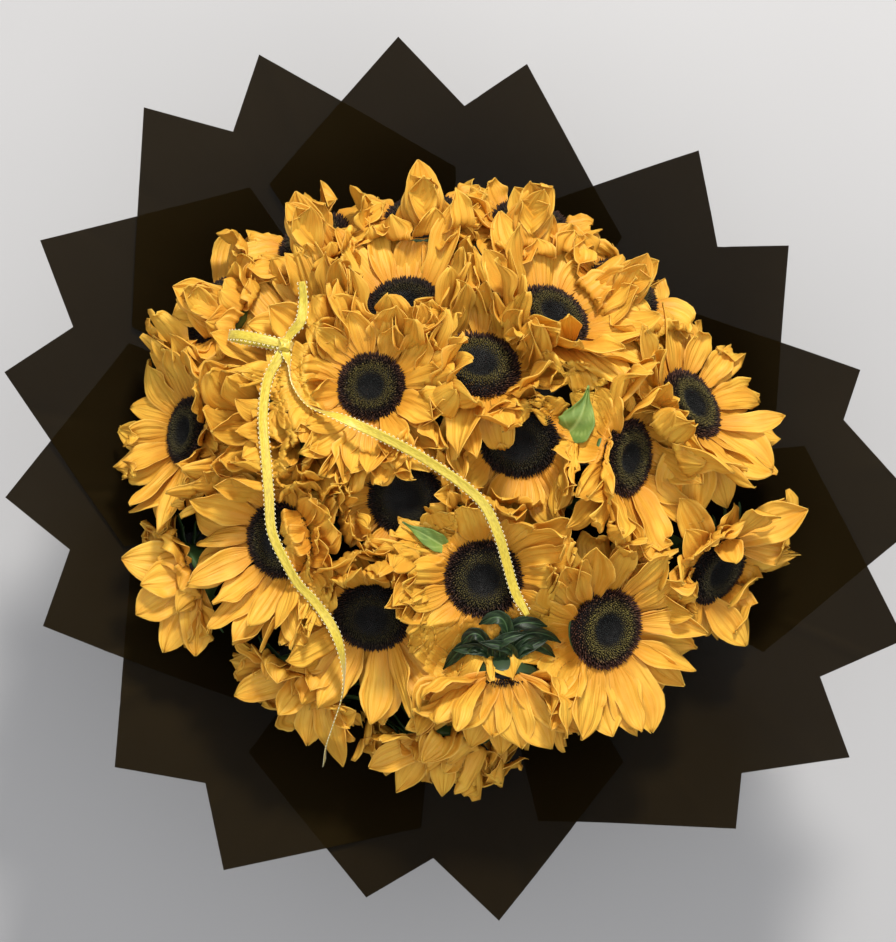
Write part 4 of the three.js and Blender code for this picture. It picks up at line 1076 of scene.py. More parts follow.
@dataclass
class RayRing:
    """The petals of one bloom: closed blades with folds, pleats, ruffled rims and curled tips."""

    bloom: Bloom
    rows: tuple[RayRow, ...] = (
        RayRow(13, 1, 26, 1.0, 1.4, -2.0, 0.1, -1.6),
        RayRow(13, 11, 36, 1.0, 1.35, 2.5, 0.3, -0.8),
        RayRow(11, 25, 46, 0.88, 1.1, 7.0, 0.5, 0.0),
    )
    heart: RayRow = RayRow(13, 66, 10, 0.8, 1.15, 4.0, 0.4, 1.0)  # hides the disc of a closed bloom
    along: int = 17
    across: int = 17
    film_clearance: float = 6.0
    taken: float = 999.0  # degrees by which a petal that is laid out already counts as further off
    inner: float = 40.0  # and one of the heart
    fold_width: float = 0.16  # of a deep fold, as a share of half the blade
    tip: float = 0.97  # the pale rim runs round the tip from here
    slack: float = 0.14  # share by which a petal may be pressed before it grows shorter
    shortest: float = 0.36  # share of its length that a pressed petal keeps
    pressed_up: float = 0.5  # how far the wrap lifts a petal for each mm that it presses it in
    pressed_by_wrap: float = 0.2  # how much that crumples it, against a neighbour's 1
    # The blade's breadth along it: share of the length, share of the width.
    outline: tuple = (
        (0.0, 0.42), (0.1, 0.62), (0.25, 0.86), (0.45, 1.0), (0.62, 1.0), (0.77, 0.84),
        (0.88, 0.54), (0.95, 0.27), (1.0, 0.05),
    )

    def __post_init__(self) -> None:
        """Choose how each petal grows."""
        bloom = self.bloom
        chance = bloom.random(1)
        rows = (*self.rows, self.heart) if bloom.name == CLOSED else self.rows
        if bloom.name in SHADED:
            rows = self.rows[:2]
        self.count = sum(row.count for row in rows)
        self.chance = chance
        closed = 1 - bloom.opened

        def spread(low: float, high: float) -> Array:
            """One random number a petal."""
            return chance.uniform(low, high, self.count)

        def by_row(key: str) -> Array:
            """A field of its row, for each petal."""
            return np.concatenate([np.full(row.count, getattr(row, key), float) for row in rows])

        turn = [360 / row.count * (np.arange(row.count) + 0.31 * k) for k, row in enumerate(rows)]
        self.compass = np.concatenate(turn) + spread(-7, 7)
        self.rise = np.radians(by_row("rise") + by_row("closing") * closed + spread(-9, 9))
        self.length = RAY_LENGTH * by_row("long") * spread(0.86, 1.08)
        self.width = RAY_WIDTH * by_row("wide") * spread(0.72, 1.12)
        self.curl = spread(-0.5, 0.6) + 0.8 * closed
        self.tip_curl = np.where(spread(0, 1) < 0.4, spread(-2.2, -0.9), spread(-0.3, 1.4))
        self.turning = spread(-0.5, 0.5)
        self.twist = spread(-0.5, 0.5) + np.where(spread(0, 1) < 0.25, spread(-1.2, 1.2), 0)
        self.channel = spread(0.1, 0.9) * np.where(spread(0, 1) < 0.3, -1, 1)
        self.climb = spread(0.4, 1.2)
        self.margin = by_row("margin") + spread(-3.0, 2.0)
        self.share = by_row("share")
        self.root_height = by_row("root_height")
        self.laid = spread(0.3, 1.0)
        self.stray = spread(-10.0, 12.0)
        inner = by_row("rise") > 50
        self.root_radius = np.where(inner, 0.45, 1.0) * DISC_RADIUS * bloom.disc - 0.5
        self.free, self.beyond = np.zeros(self.count), np.zeros(self.count)
        self.chosen, self.ways = np.zeros(self.count, bool), np.zeros((self.count, 3))
        heading = self.heading()
        for sector in SECTORS.get(bloom.name, ()):
            inside = (heading - sector.start) % 360 < (sector.end - sector.start) % 360
            self.length = np.where(inside, self.length * sector.long, self.length)
            self.free = np.where(inside, sector.free, self.free)
        for extra in EXTRA_RAYS.get(bloom.name, ()):
            self.add_extra(extra)

    def heading(self) -> Array:
        """Compass angles of the petals, seen from above.

        Returns:
            Degrees, one a petal.
        """
        b, angle = self.bloom, np.radians(self.compass)[:, None]
        radial = np.cos(angle) * b.across + np.sin(angle) * b.along
        way = np.cos(self.rise)[:, None] * radial + np.sin(self.rise)[:, None] * b.axis
        return np.degrees(np.arctan2(way[:, 1], way[:, 0]))

    def add_extra(self, extra: ExtraRay) -> None:
        """Lay one of the petals out as an extra one says.

        Args:
            extra: The heading, size and bend of the petal.
        """
        b = self.bloom
        slope = math.radians(extra.slope)
        way = on_circle(math.cos(slope), extra.compass, math.sin(slope))
        aim = way * [1.0, 1.0, 0.0]
        if b.name in SHADED:
            aim = aim * 0.65 + on_circle(0.35, b.compass)
        if extra.root == 1:
            aim = way + 0.5 * UP if b.tilt < 60 else way * 0.4 + UP
        turn = math.degrees(math.atan2(aim @ b.along, aim @ b.across))
        apart = np.abs((self.compass - turn + 180) % 360 - 180)
        near_root = self.root_radius < 15
        k = int(np.argmin(apart + self.taken * self.chosen + self.inner * near_root))
        self.chosen[k], self.ways[k] = True, way
        self.compass[k] = turn
        self.root_radius[k] *= extra.root
        self.root_height[k] += 3.0 * (extra.root < 1)
        self.length[k], self.width[k] = extra.length, extra.width
        self.curl[k], self.tip_curl[k] = extra.curl, extra.tip_curl
        self.twist[k], self.turning[k], self.channel[k] = extra.twist, 0.0, extra.channel
        self.laid[k], self.free[k], self.beyond[k] = 0.0, extra.free, extra.beyond

    def grow(self) -> tuple[Array, Array]:
        """Grow the middle lines twice: the second time, those that were pressed are shorter.

        Returns:
            The lines as (petals, steps, 3), and how hard each is pressed at each step.
        """
        _, pressed, inside = self.march()
        crowded = 1 + self.slack * np.maximum(0, pressed[:, -1] - 1.5)
        kept = np.maximum(np.clip(inside + self.slack, 0.5, 1) / crowded, self.shortest)
        self.length = np.where(self.chosen, self.length, self.length * kept)
        line, pressed, _ = self.march()
        return line, pressed

    def march(self) -> tuple[Array, Array, Array]:
        """Grow the middle lines. Where one would pass a wall it turns along it and up.

        Returns:
            The lines as (petals, steps, 3), how hard each is pressed at each step, and the share
            of each that lies inside the bunch's outline.
        """
        b, n = self.bloom, self.count
        angle = np.radians(self.compass)[:, None]
        self.radial = np.cos(angle) * b.across + np.sin(angle) * b.along
        root = (b.centre + self.radial * self.root_radius[:, None]
                + self.root_height[:, None] * b.axis)
        direction = np.cos(self.rise)[:, None] * self.radial + np.sin(self.rise)[:, None] * b.axis
        direction = np.where(self.chosen[:, None], self.ways, direction)
        sideways = np.cross(b.axis, self.radial)
        upward = np.where(self.chosen[:, None], UP, b.axis)
        limits = []
        for normal, offset in b.walls:
            room = np.maximum(0, offset - root @ normal)
            limits.append(offset - np.minimum(self.margin, room * self.share) + self.free)
        steps = self.along - 1
        stride = (self.length / steps)[:, None]
        line, pressed, inside = [root], [np.zeros(n)], np.zeros(n)
        for i in range(steps):
            u = i / steps
            bend = (self.curl + self.tip_curl * 2.4 * u**3) / steps
            turn = self.turning / steps
            direction = unit(direction + bend[:, None] * upward + turn[:, None] * sideways)
            ahead = line[-1] + direction * stride
            push = np.zeros(n)
            for (normal, _), limit in zip(b.walls, limits):
                past = np.maximum(0, ahead @ normal - limit)
                ahead = ahead - past[:, None] * normal + (past * self.climb)[:, None] * b.axis
                push += past
            reach = np.hypot(ahead[:, 0], ahead[:, 1])
            allowed = petal_reach(ahead[:, 0], ahead[:, 1]) + self.stray + self.beyond
            past = np.maximum(0, reach - allowed)
            inside += (past < 1e-6) / steps
            outward = ahead[:, :2] / reach[:, None]
            ahead[:, :2] -= past[:, None] * outward
            ahead[:, 2] += past * self.pressed_up
            push += past * self.pressed_by_wrap
            floor = wrap_height(reach - past) + self.film_clearance
            ahead[:, 2] = np.maximum(ahead[:, 2], floor)
            direction = unit(ahead - line[-1])
            line.append(line[-1] + direction * stride)
            pressed.append(pressed[-1] + push / (self.length / steps))
        return np.stack(line, axis=1), np.stack(pressed, axis=1), inside

    def shape(self) -> tuple[Array, dict[str, Array]]:
        """Spread each line to a blade.

        Returns:
            The upper faces as (petals, along, across, 3), and the values kept for each point.
        """
        line, pressed = self.grow()
        b, n, chance = self.bloom, self.count, self.chance
        u = np.linspace(0, 1, self.along)
        v = np.linspace(-1, 1, self.across)
        ahead = unit(np.gradient(line, axis=1))
        level = np.cross(UP, self.ways)
        sideways = np.where(self.chosen[:, None], level, np.cross(b.axis, self.radial))[:, None, :]
        side = square_to(ahead, sideways)
        half = self.width[:, None] / 2
        for normal, offset in b.walls:
            off = (offset - line @ normal) / half
            laid = (1 - np.clip(off, 0, 1)) * self.laid[:, None]
            side = side - normal * (laid * (side @ normal))[..., None]
        side = square_to(ahead, side)
        face = np.cross(ahead, side)
        roll = (self.twist[:, None] * u)[..., None]
        side, face = (side * np.cos(roll) + face * np.sin(roll),
                      face * np.cos(roll) - side * np.sin(roll))
        outline = np.interp(u, *np.array(self.outline).T)
        squeeze = np.clip(pressed, 0, 2.5)
        wave = 1 + 0.07 * np.sin(2 * np.pi * (1.6 * u + chance.uniform(0, 1, n)[:, None]))
        breadth = half * outline * wave
        channel = self.channel[:, None]
        bend = channel * (0.6 + 0.6 * u) + np.sign(channel) * 0.3 * squeeze
        bend = np.where(np.abs(bend) < 0.05, 0.05, bend)[..., None]
        x = breadth[..., None] * np.sin(bend * v) / bend
        z = breadth[..., None] * (1 - np.cos(bend * v)) / bend
        z = z + self.pleats(u, v, breadth) + self.ruffle(u, v, squeeze)
        grid = blade(line, side, face, x, z)
        marks = {
            "along": (u * self.length[:, None])[..., None],
            "lane": v,
            # edge: the rim and tip, where the finish paints a highlight.
            "edge": np.maximum(np.abs(v), (u[:, None] > self.tip) * 1.0),
            "own": chance.uniform(0, 1, n)[:, None, None],
        }
        return grid, marks

    def pleats(self, u: Array, v: Array, breadth: Array) -> Array:
        """Heights of the lengthwise pleats over a blade, with one or two deeper folds.

        Args:
            u: Share of the length.
            v: Place across, -1 to 1.
            breadth: Half width there.

        Returns:
            The heights in mm.
        """
        n, chance = self.count, self.chance
        number = chance.uniform(3.0, 5.6, n)[:, None, None]
        phase = chance.uniform(0, 2 * np.pi, n)[:, None, None]
        drift = chance.uniform(-0.5, 0.5, n)[:, None, None] * u[:, None]
        deep = 0.06 * breadth[..., None] * np.minimum(1, 5 * u)[:, None]
        wave = np.cos(np.pi * number * (v + drift) + phase)
        ridges = deep * (np.abs(wave) ** 0.7) * np.sign(wave) * (1 - 0.35 * np.abs(v))
        for _ in range(2):
            at = chance.uniform(-0.6, 0.6, n)[:, None, None]
            depth = chance.uniform(0.2, 1.3, n)[:, None, None]
            off = (v - at * (1 - 0.3 * u[:, None])) / self.fold_width
            ridges = ridges - depth * np.exp(-(off**2)) * u[:, None] ** 0.4
        return ridges

    def ruffle(self, u: Array, v: Array, squeeze: Array) -> Array:
        """Heights of the waves in a blade's two rims, stronger where it is pressed.

        Args:
            u: Share of the length.
            v: Place across, -1 to 1.
            squeeze: How far it is pressed.

        Returns:
            The heights in mm.
        """
        n, chance = self.count, self.chance
        out = np.zeros((n, self.along, self.across))
        for side in (-1, 1):
            often = chance.uniform(1.0, 2.6, n)[:, None]
            phase = chance.uniform(0, 2 * np.pi, n)[:, None]
            size = chance.uniform(0.5, 2.2, n)[:, None] + 0.6 * squeeze
            swing = size * np.sin(2 * np.pi * often * u + phase) * np.minimum(1, 2.5 * u)
            out += swing[..., None] * np.clip(v * side, 0, 1) ** 2
        return out

    def thickness(self) -> Array:
        """A blade is thicker along its middle and at its root.

        Returns:
            The thickness in mm over the blade.
        """
        u = np.linspace(0, 1, self.along)[:, None]
        v = np.linspace(-1, 1, self.across)
        return 0.35 + 0.35 * (1 - np.abs(v)) * (1 - 0.6 * u)


# Discs -----------------------------------------------------------------------------------


@dataclass(frozen=True)
class FloretDisc:
    """A disc of florets in the two spirals that sunflowers have, over a low dome."""

    bloom: Bloom
    count: int = 1400
    sides: int = 4
    dome_sides: int = 40
    sunk: float = 0.6  # how far the dome stays under the florets' feet
    # Share of the disc's radius, height over its rim.
    profile: tuple = (
        (0.0, 0.2), (0.22, 0.9), (0.38, DISC_DOME - 2.6), (0.55, DISC_DOME - 0.6),
        (0.7, DISC_DOME - 0.9), (0.86, DISC_DOME - 2.8), (1.0, 0.8), (1.05, DISC_BASE + 1),
    )

    def height(self, share: Array) -> Array:
        """Height of the dome at a share of the disc's radius."""
        return np.interp(share, *np.array(self.profile).T)

    def florets(self, maker: MeshMaker) -> None:
        """Add every floret as a closed pointed bud.

        Args:
            maker: Takes the faces.
        """
        chance = self.bloom.random(2)
        i = np.arange(self.count)
        share = np.sqrt((i + 0.5) / self.count)
        angle = np.radians(i * GOLDEN_ANGLE)
        size = self.bloom.disc
        radius = share * (DISC_RADIUS * size + 0.8)
        foot = self.height(share) - 1
        base = np.column_stack([radius * np.cos(angle), radius * np.sin(angle), foot])
        slope = np.interp(share, [0, 0.3, 0.6, 0.8, 1.0], [0, -0.5, 0.1, 0.6, 1.2])
        out = np.column_stack([np.cos(angle), np.sin(angle), np.zeros(self.count)])
        lean = unit(out * slope[:, None] + [0, 0, 1] + chance.uniform(-0.25, 0.25, (self.count, 3)))
        tall = np.interp(share, [0, 0.35, 0.6, 0.75, 0.9, 1.0], [1.5, 1.8, 2.2, 3.0, 4.0, 4.2])
        tall = tall * chance.uniform(0.75, 1.25, self.count)
        wide = np.interp(share, [0, 0.3, 0.7, 1.0], [0.55, 0.6, 0.62, 0.56])
        turn = np.linspace(0, 2 * np.pi, self.sides, endpoint=False)
        turn = turn + chance.uniform(0, 6, (self.count, 1))
        sideways = unit(np.cross(lean, [0.3, 1.0, 0.2]))
        other = np.cross(lean, sideways)
        turn = turn[..., None]
        ring = np.cos(turn) * sideways[:, None] + np.sin(turn) * other[:, None]
        levels, sizes = (0.0, 0.55, 0.85), (0.8, 1.0, 0.5)
        rings = [base[:, None] + lean[:, None] * (tall * level)[:, None, None]
                 + ring * (wide * size)[:, None, None] for level, size in zip(levels, sizes)]
        tip = base + lean * tall[:, None]
        points = np.concatenate([*rings, base[:, None], tip[:, None]], axis=1)
        faces = tube_faces(len(levels), self.sides)
        starts = np.arange(self.count) * points.shape[1]
        high = np.concatenate([np.repeat(levels, self.sides), [0.0, 1.0]])
        maker.add(
            self.bloom.place(points.reshape(-1, 3)),
            faces[None] + starts[:, None, None],
            out=np.repeat(share, points.shape[1]),
            # tip is the height up each floret, which the finish uses to paint shade between the
            # florets.
            tip=np.tile(high, self.count),
            # own paints the disc towards black, partly its own darker colour and partly painted
            # shade.
            own=self.bloom.dark * 0.9,
            # spark picks the florets with a bright speck, partly a painted glint.
            spark=np.repeat(chance.uniform(0, 1, self.count), points.shape[1]),
        )

    def dome(self, maker: MeshMaker) -> None:
        """Add the dome under the florets.

        Args:
            maker: Takes the faces.
        """
        rows = np.linspace(0.02, 1.05, 12)[::-1]
        radius, height = rows * DISC_RADIUS * self.bloom.disc, self.height(rows) - self.sunk
        section = np.column_stack([[radius[0], *radius], [DISC_BASE, *height]])
        points, faces = lathe(section, self.dome_sides, (DISC_BASE, self.height(0) - self.sunk))
        # The dome is painted all in the near-black shade under the florets.
        maker.add(self.bloom.place(points), faces,
                  out=0.5, tip=0.0, own=self.bloom.dark * 0.9, spark=0.0)


# Stems, calyx cups, bracts and leaves ------------------------------------------------------


@dataclass(frozen=True)
class StemBundle:
    """The cut stems, one to a bloom, laid in a spiral through the binding."""

    spiral: float = 70.0
    top: float = 12.0
    neck: float = 42.0
    spread_height: float = 45.0
    spread: float = 1.5
    spread_turn: float = 0.12
    calyx_top: float = DISC_BASE - 0.3
    foot_cut: float = 8.0
    place_choice: int = 5
    sides: int = 14

    def places(self) -> list[tuple[Bloom, float, float]]:
        """Each bloom with its stem's place round the binding.

        Returns:
            The bloom, its share of the way out, and its angle.
        """
        order = sorted(BLOOMS, key=lambda bloom: float(np.hypot(*bloom.centre[:2])))
        free = [(math.sqrt((k + 0.5) / len(order)), (k * GOLDEN_ANGLE) % 360)
                for k in range(len(order))]
        found = []
        for bloom in order:
            angle = math.degrees(math.atan2(bloom.centre[1], bloom.centre[0]))
            best = min(free[: self.place_choice],
                       key=lambda place: abs((place[1] - angle + 900) % 360 - 180))
            free.remove(best)
            found.append((bloom, *best))
        return found

    def route(self, bloom: Bloom, share: float, angle: float) -> Array:
        """The middle line of a stem, from its foot on the floor up into its calyx cup.

        Args:
            bloom: The bloom that it carries.
            share: Share of the way out.
            angle: Its angle round the binding.

        Returns:
            The points of the line.
        """
        top = bloom.centre + bloom.axis * (self.calyx_top - self.top)
        neck = bloom.centre + bloom.axis * (self.calyx_top - self.neck)
        radius = BINDING_RADIUS * share
        spread = on_circle(radius * self.spread, angle + self.spiral * self.spread_turn,
                           BINDING_HEIGHT + self.spread_height)
        bound = on_circle(radius, angle, BINDING_HEIGHT)
        foot = on_circle(FOOT_RADIUS * share, angle - self.spiral / 2, -self.foot_cut)
        return spline(np.array([foot, bound, spread, neck, top]), 14)

    def build(self, material: Material) -> None:
        """Make the stems as one piece.

        Args:
            material: Its finish.
        """
        maker = MeshMaker()
        chance = np.random.default_rng(31)
        for bloom, share, angle in self.places():
            line = self.route(bloom, share, angle)
            line = line[line[:, 2] > 0]
            ahead = tangents(line)
            line = np.vstack([line[0] - ahead[0] * line[0, 2] / ahead[0, 2], line])
            radius = STEM_RADIUS * chance.uniform(0.92, 1.1)
            self.add_stem(maker, line, radius)
            ring = maker.points[-1][: self.sides]  # its lowest ring, cut level with the floor
            foot = tangents(line)[0]
            ring -= foot * (ring[:, 2:] / foot[2])
        maker.piece("cut_stems", Slot.GREEN, material, "stems")

    def add_stem(self, maker: MeshMaker, line: Array, radius: float) -> None:
        """Add one stem, a little thicker towards its foot, with a pale cut end.

        Args:
            maker: Takes the faces.
            line: Its middle line.
            radius: Its radius at half its length.
        """
        share = np.linspace(0, 1, len(line))
        size = radius * (1.08 - 0.16 * share)
        pale = np.where(share < 0.002, 0.9, 0.12)
        maker.add_tube(line, size, self.sides, vein=pale)


@dataclass(frozen=True)
class Calyx:
    """The green cup under a bloom, with its rows of pointed bracts."""

    bloom: Bloom
    short_of: float = 10.0  # how far the bracts stay inside the petals' reach
    # Half section from the stem up: radius, height.
    cup_section: tuple = (
        (3.5, -38), (4.6, -34), (7, -29), (14, -22), (21, -14), (25.5, -7), (26.5, -4.2),
        (20, -3.4),
    )
    cup_sides: int = 28
    # Rows of bracts: how many, length, width, depth and radius of their roots, rise in radians.
    bract_rows: tuple = (
        (13, 27.0, 9.5, 6.0, 25.0, -0.05), (12, 25.0, 9.0, 11.0, 22.0, -0.25),
        (10, 20.0, 7.5, 17.0, 18.5, -0.4),
    )
    thickness: float = 0.7
    off_wrap: float = 4.0

    def cup(self, maker: MeshMaker) -> None:
        """Add the cup.

        Args:
            maker: Takes the faces.
        """
        section = np.array(self.cup_section)
        points, faces = lathe(section, self.cup_sides, (section[0, 1], section[-1, 1]))
        maker.add(self.bloom.place(points), faces, vein=0.1)

    def bracts(self, maker: MeshMaker) -> None:
        """Add the bracts, each a thin pointed leaf that bends outwards.

        Args:
            maker: Takes the faces.
        """
        b = self.bloom
        chance = b.random(3)
        u, v = np.linspace(0, 1, 9), np.linspace(-1, 1, 5)
        for count, long, wide, depth, start, rise in self.bract_rows:
            compass = np.radians(360 / count * np.arange(count) + chance.uniform(-8, 8, count))
            compass = compass[np.sin(compass) * b.along[2] < 0.05]  # pressed away on the upper side
            count = len(compass)
            radial = np.cos(compass)[:, None] * b.across + np.sin(compass)[:, None] * b.along
            root = b.centre + radial * start - b.axis * depth
            tilt = rise + chance.uniform(-0.3, 0.2, count)
            direction = np.cos(tilt)[:, None] * radial + np.sin(tilt)[:, None] * b.axis
            curl = chance.uniform(-1.1, 0.2, count)
            stride = (long * chance.uniform(0.8, 1.15, count) / (len(u) - 1))[:, None]
            line = [root]
            for _ in u[1:]:
                direction = unit(direction + (curl / len(u))[:, None] * b.axis)
                ahead = line[-1] + direction * stride
                for normal, offset in b.walls:
                    past = np.maximum(0, ahead @ normal - offset + 2)
                    ahead = ahead - past[:, None] * normal
                reach = np.hypot(ahead[:, 0], ahead[:, 1])
                past = np.maximum(0, reach - petal_reach(ahead[:, 0], ahead[:, 1]) + self.short_of)
                ahead[:, :2] *= (1 - past / reach)[:, None]
                ahead[:, 2] = np.maximum(ahead[:, 2], wrap_height(reach - past) + self.off_wrap)
                line.append(ahead)
            line = np.stack(line, axis=1)
            ahead = unit(np.gradient(line, axis=1))
            sideways = np.cross(b.axis, radial)[:, None]
            side = square_to(ahead, sideways)
            face = np.cross(ahead, side)
            outline = np.interp(u, [0, 0.3, 0.6, 0.85, 1], [0.8, 1, 0.75, 0.3, 0.03]) * wide / 2
            x = outline[:, None] * v
            z = 1.1 * outline[:, None] / (wide / 2) * np.abs(v) ** 1.5
            z = z + 0.5 * np.sin(9 * u)[:, None] * np.abs(v)
            grid = blade(line, side, face, x, z)
            maker.add_sheet(grid, self.thickness, vein=0.28 * np.exp(-((v / 0.16) ** 2)))


@dataclass(frozen=True)
class Leaf:
    """A leaf or long bract that shows between the blooms.

    It grows from the calyx cup of a bloom, over one point to its tip. Both are given by x, y and
    their height over the dome of the blooms.
    """

    bloom: str
    over: Point
    tip: Point
    width: float
    strap: bool = False  # a long bract is broad nearly from its root

    def surface(self) -> tuple[Array, Array]:
        """The leaf's upper face, folded along its midrib, and the strength of its veins.

        Returns:
            The points, and the strength at each.
        """
        bloom = next(b for b in BLOOMS if b.name == self.bloom)
        over, tip = over_dome((self.over, self.tip))
        out = over - bloom.centre
        out = unit(out - bloom.axis * (out @ bloom.axis))
        root = bloom.centre + out * 16 - bloom.axis * 14
        u, v = np.linspace(0, 1, 29), np.linspace(-1, 1, 15)
        part = u[:, None]
        line = root * (1 - part) ** 2 + 2 * over * part * (1 - part) + tip * part**2
        ahead = tangents(line)
        side = unit(np.cross(ahead, UP))
        face = np.cross(side, ahead)
        broad = (0.6, 0.9, 1, 0.95, 0.7, 0.02) if self.strap else (0.12, 0.5, 1, 0.8, 0.22, 0.02)
        outline = np.interp(u, [0, 0.3, 0.55, 0.72, 0.88, 1], broad)
        outline = outline * self.width / 2 * (1 + 0.04 * np.sin(40 * u))
        x = outline[:, None] * v
        fold = 0.75 if self.strap else 0.4
        z = fold * np.abs(x) + self.width * 0.04 * np.sin(11 * part - 4 * v)
        grid = blade(line, side, face, x, z)
        veins = np.maximum(0, np.sin(34 * part - 7 * np.abs(v))) ** 8
        rib = np.exp(-((v / 0.07) ** 2)) + 0.6 * veins
        return grid[None, :, ::-1], 0.4 * np.clip(rib, 0, 1)[None, :, ::-1]

    def build(self, maker: MeshMaker) -> None:
        """Add the leaf."""
        grid, vein = self.surface()
        maker.add_sheet(grid, 0.5, vein=vein)

    def covers(self) -> Array:
        """Places that the outer half of the leaf covers: x, y, height and half width."""
        grid = self.surface()[0][0, 14::2, ::3].reshape(-1, 3)
        return np.column_stack([grid, np.full(len(grid), 3.0)])


LEAVES = (Leaf("05", (84, 21, 3), (89, 62, 16), 25), Leaf("09", (-8, -45, 2), (-35, -29, 10), 13))

# The dark curled bracts over bloom 16, which faces away from them.
TUFT = tuple(Leaf("16", over, tip, width, True) for over, tip, width in (
    ((14, -98, 7), (-8, -130, -3), 9), ((16, -92, 12), (4, -112, 4), 8),
    ((40, -80, 18), (16, -98, 8), 9), ((30, -88, 12), (62, -100, 5), 9),
    ((44, -92, 8), (72, -112, -2), 7), ((46, -100, 10), (68, -122, -3), 8),
    ((20, -108, 13), (48, -104, 14), 8), ((44, -112, 12), (16, -110, 14), 7),
    ((24, -112, 8), (-2, -116, 2), 8), ((42, -116, 8), (64, -108, 3), 7),
    ((30, -122, 8), (30, -104, 12), 8),
))


COVER_GAP = 2.4  # how far petals stay under what lies on them
COVER_SLOPE = 1.3  # how steeply they may rise beside it
COVER_REACH = 28.0  # how far from its middle it presses
COVER_SINK = 3.0  # how far the highest ones go deeper, so that they don't all end level
COVER_SOFTNESS = 12.0


def press_under(points: Array, covers: Array) -> Array:
    """Push down what lies under the ribbon and the leaves, so that nothing stands through them.

    Args:
        points: Points of a bloom's petals, with x, y and z along the last axis.
        covers: Places that are covered: x, y, height and half width, one a row.

    Returns:
        The points, moved.
    """
    moved = points.reshape(-1, 3).copy()
    cap = np.full(len(moved), 9e9)
    for x, y, height, half in covers:
        apart = np.hypot(moved[:, 0] - x, moved[:, 1] - y)
        room = height - COVER_GAP + COVER_SLOPE * np.maximum(0, apart - half)
        cap = np.minimum(cap, np.where(apart < COVER_REACH, room, 9e9))
    over = np.maximum(0, moved[:, 2] - cap)
    lower = cap - COVER_SINK * (1 - np.exp(-over / COVER_SOFTNESS))
    moved[:, 2] = np.where(over > 0, lower, moved[:, 2])
    return moved.reshape(points.shape)


# Ties --------------------------------------------------------------------------------------


def strip(route: Array, side: Array, width: Array | float, cup: float,
          across: int) -> tuple[Array, dict[str, Array]]:
    """A ribbon along a route.

    Args:
        route: Points along the ribbon's middle.
        side: Direction across the ribbon at each point.
        width: Width at each point.
        cup: How far its middle stands over its edges.
        across: How many points it has across.

    Returns:
        Its upper face as (1, along, across, 3), and the values kept for each point.
    """
    ahead = tangents(route)
    side = square_to(ahead, side)
    face = np.cross(ahead, side)
    v = np.linspace(-1, 1, across)
    half = np.broadcast_to(width, len(route))[:, None] / 2
    x, z = half * v, cup * (1 - v**2) + 0 * half
    grid = blade(route, side, face, x, z)
    return grid[None], {"along": distances(route)[:, None], "across": x}


@dataclass(frozen=True)
class StringBinding:
    """Jute string, wound five times round the stems."""

    turns: int = 5
    thickness: float = 2.75

    def build(self, material: Material) -> None:
        """Make the string.

        Args:
            material: Its finish.
        """
        inside = BINDING_RADIUS + STEM_RADIUS + 1.6
        share = np.linspace(0, 1, 64 * self.turns + 1)
        low = BINDING_HEIGHT - (self.turns - 1) / 2 * self.thickness
        rise = (self.turns - 1) * self.thickness * share
        line = on_circle(inside + self.thickness / 2, 360 * self.turns * share, low + rise)
        maker = MeshMaker()
        steps = np.linspace(0, length_of(line), len(line))
        maker.add_tube(line, self.thickness / 2, 10, along=steps, across=0.0)
        maker.piece("jute_string", Slot.STRING, material, "binding_string")


@dataclass(frozen=True)
class WrapTie:
    """Satin ribbon round the neck of the wrap, tied in a bow with two loops and two tails."""

    width: float = 15.0
    thickness: float = 0.35
    inside: float = NECK_RADIUS + 2.3 + 0.3

    def build(self, material: Material) -> None:
        """Args:
            material: Its finish.
        """
        maker = MeshMaker()
        angle = np.linspace(0, 360, 97)
        radius = self.inside + 0.6 + 0.25 * np.sin(np.radians(angle * 7))
        band = on_circle(radius, angle - 90, BINDING_HEIGHT)
        front = -(self.inside + 2)

        def place(x: float, y: float, z: float) -> Point:
            """A point of the bow, moved to where the tie is knotted."""
            return (x, front + y, BINDING_HEIGHT + z)

        runs = [(band, np.tile(UP, (len(band), 1)), self.width, 0.2)]
        for side in (-1, 1):
            loop = spline(np.array([place(side * x, y, z) for x, y, z in (
                (2, -5, 0), (22, -15, -2), (44, -17, -5), (50, -11, -6), (44, -6, -5), (22, -6, -2),
                (2, -3, 0))]), 8)
            pinch = np.interp(np.linspace(0, 1, len(loop)), [0, 0.2, 0.8, 1], [0.5, 1, 1, 0.5])
            runs.append((loop, np.tile(UP, (len(loop), 1)), self.width * pinch, 0.5))
            tail = spline(np.array([place(side * x, y, z) for x, y, z in (
                (1, -4, -2), (10, -12, -24), (18, -21, -60), (27, -30, -104))]), 12)
            pinch = np.interp(np.linspace(0, 1, len(tail)), [0, 0.15, 1], [0.5, 1, 1])
            across = np.tile([-1.0, 0.0, 0.0], (len(tail), 1))
            runs.append((tail, across, self.width * pinch, 0.6))
        knot = spline(np.array([place(0, -1.5, 9), place(0, -7, 7.5), place(0, -8.5, 0),
                                place(0, -7, -7.5), place(0, -1.5, -9)]), 8)
        runs.append((knot, np.tile([-1.0, 0.0, 0.0], (len(knot), 1)), 13.0, 1.6))
        for route, side_way, width, cup in runs:
            grid, marks = strip(route, side_way, width, cup, 9)
            maker.add_sheet(grid, self.thickness, **marks)
        made = maker.piece("tie_with_bow", Slot.RIBBON, material, "wrap_tie")


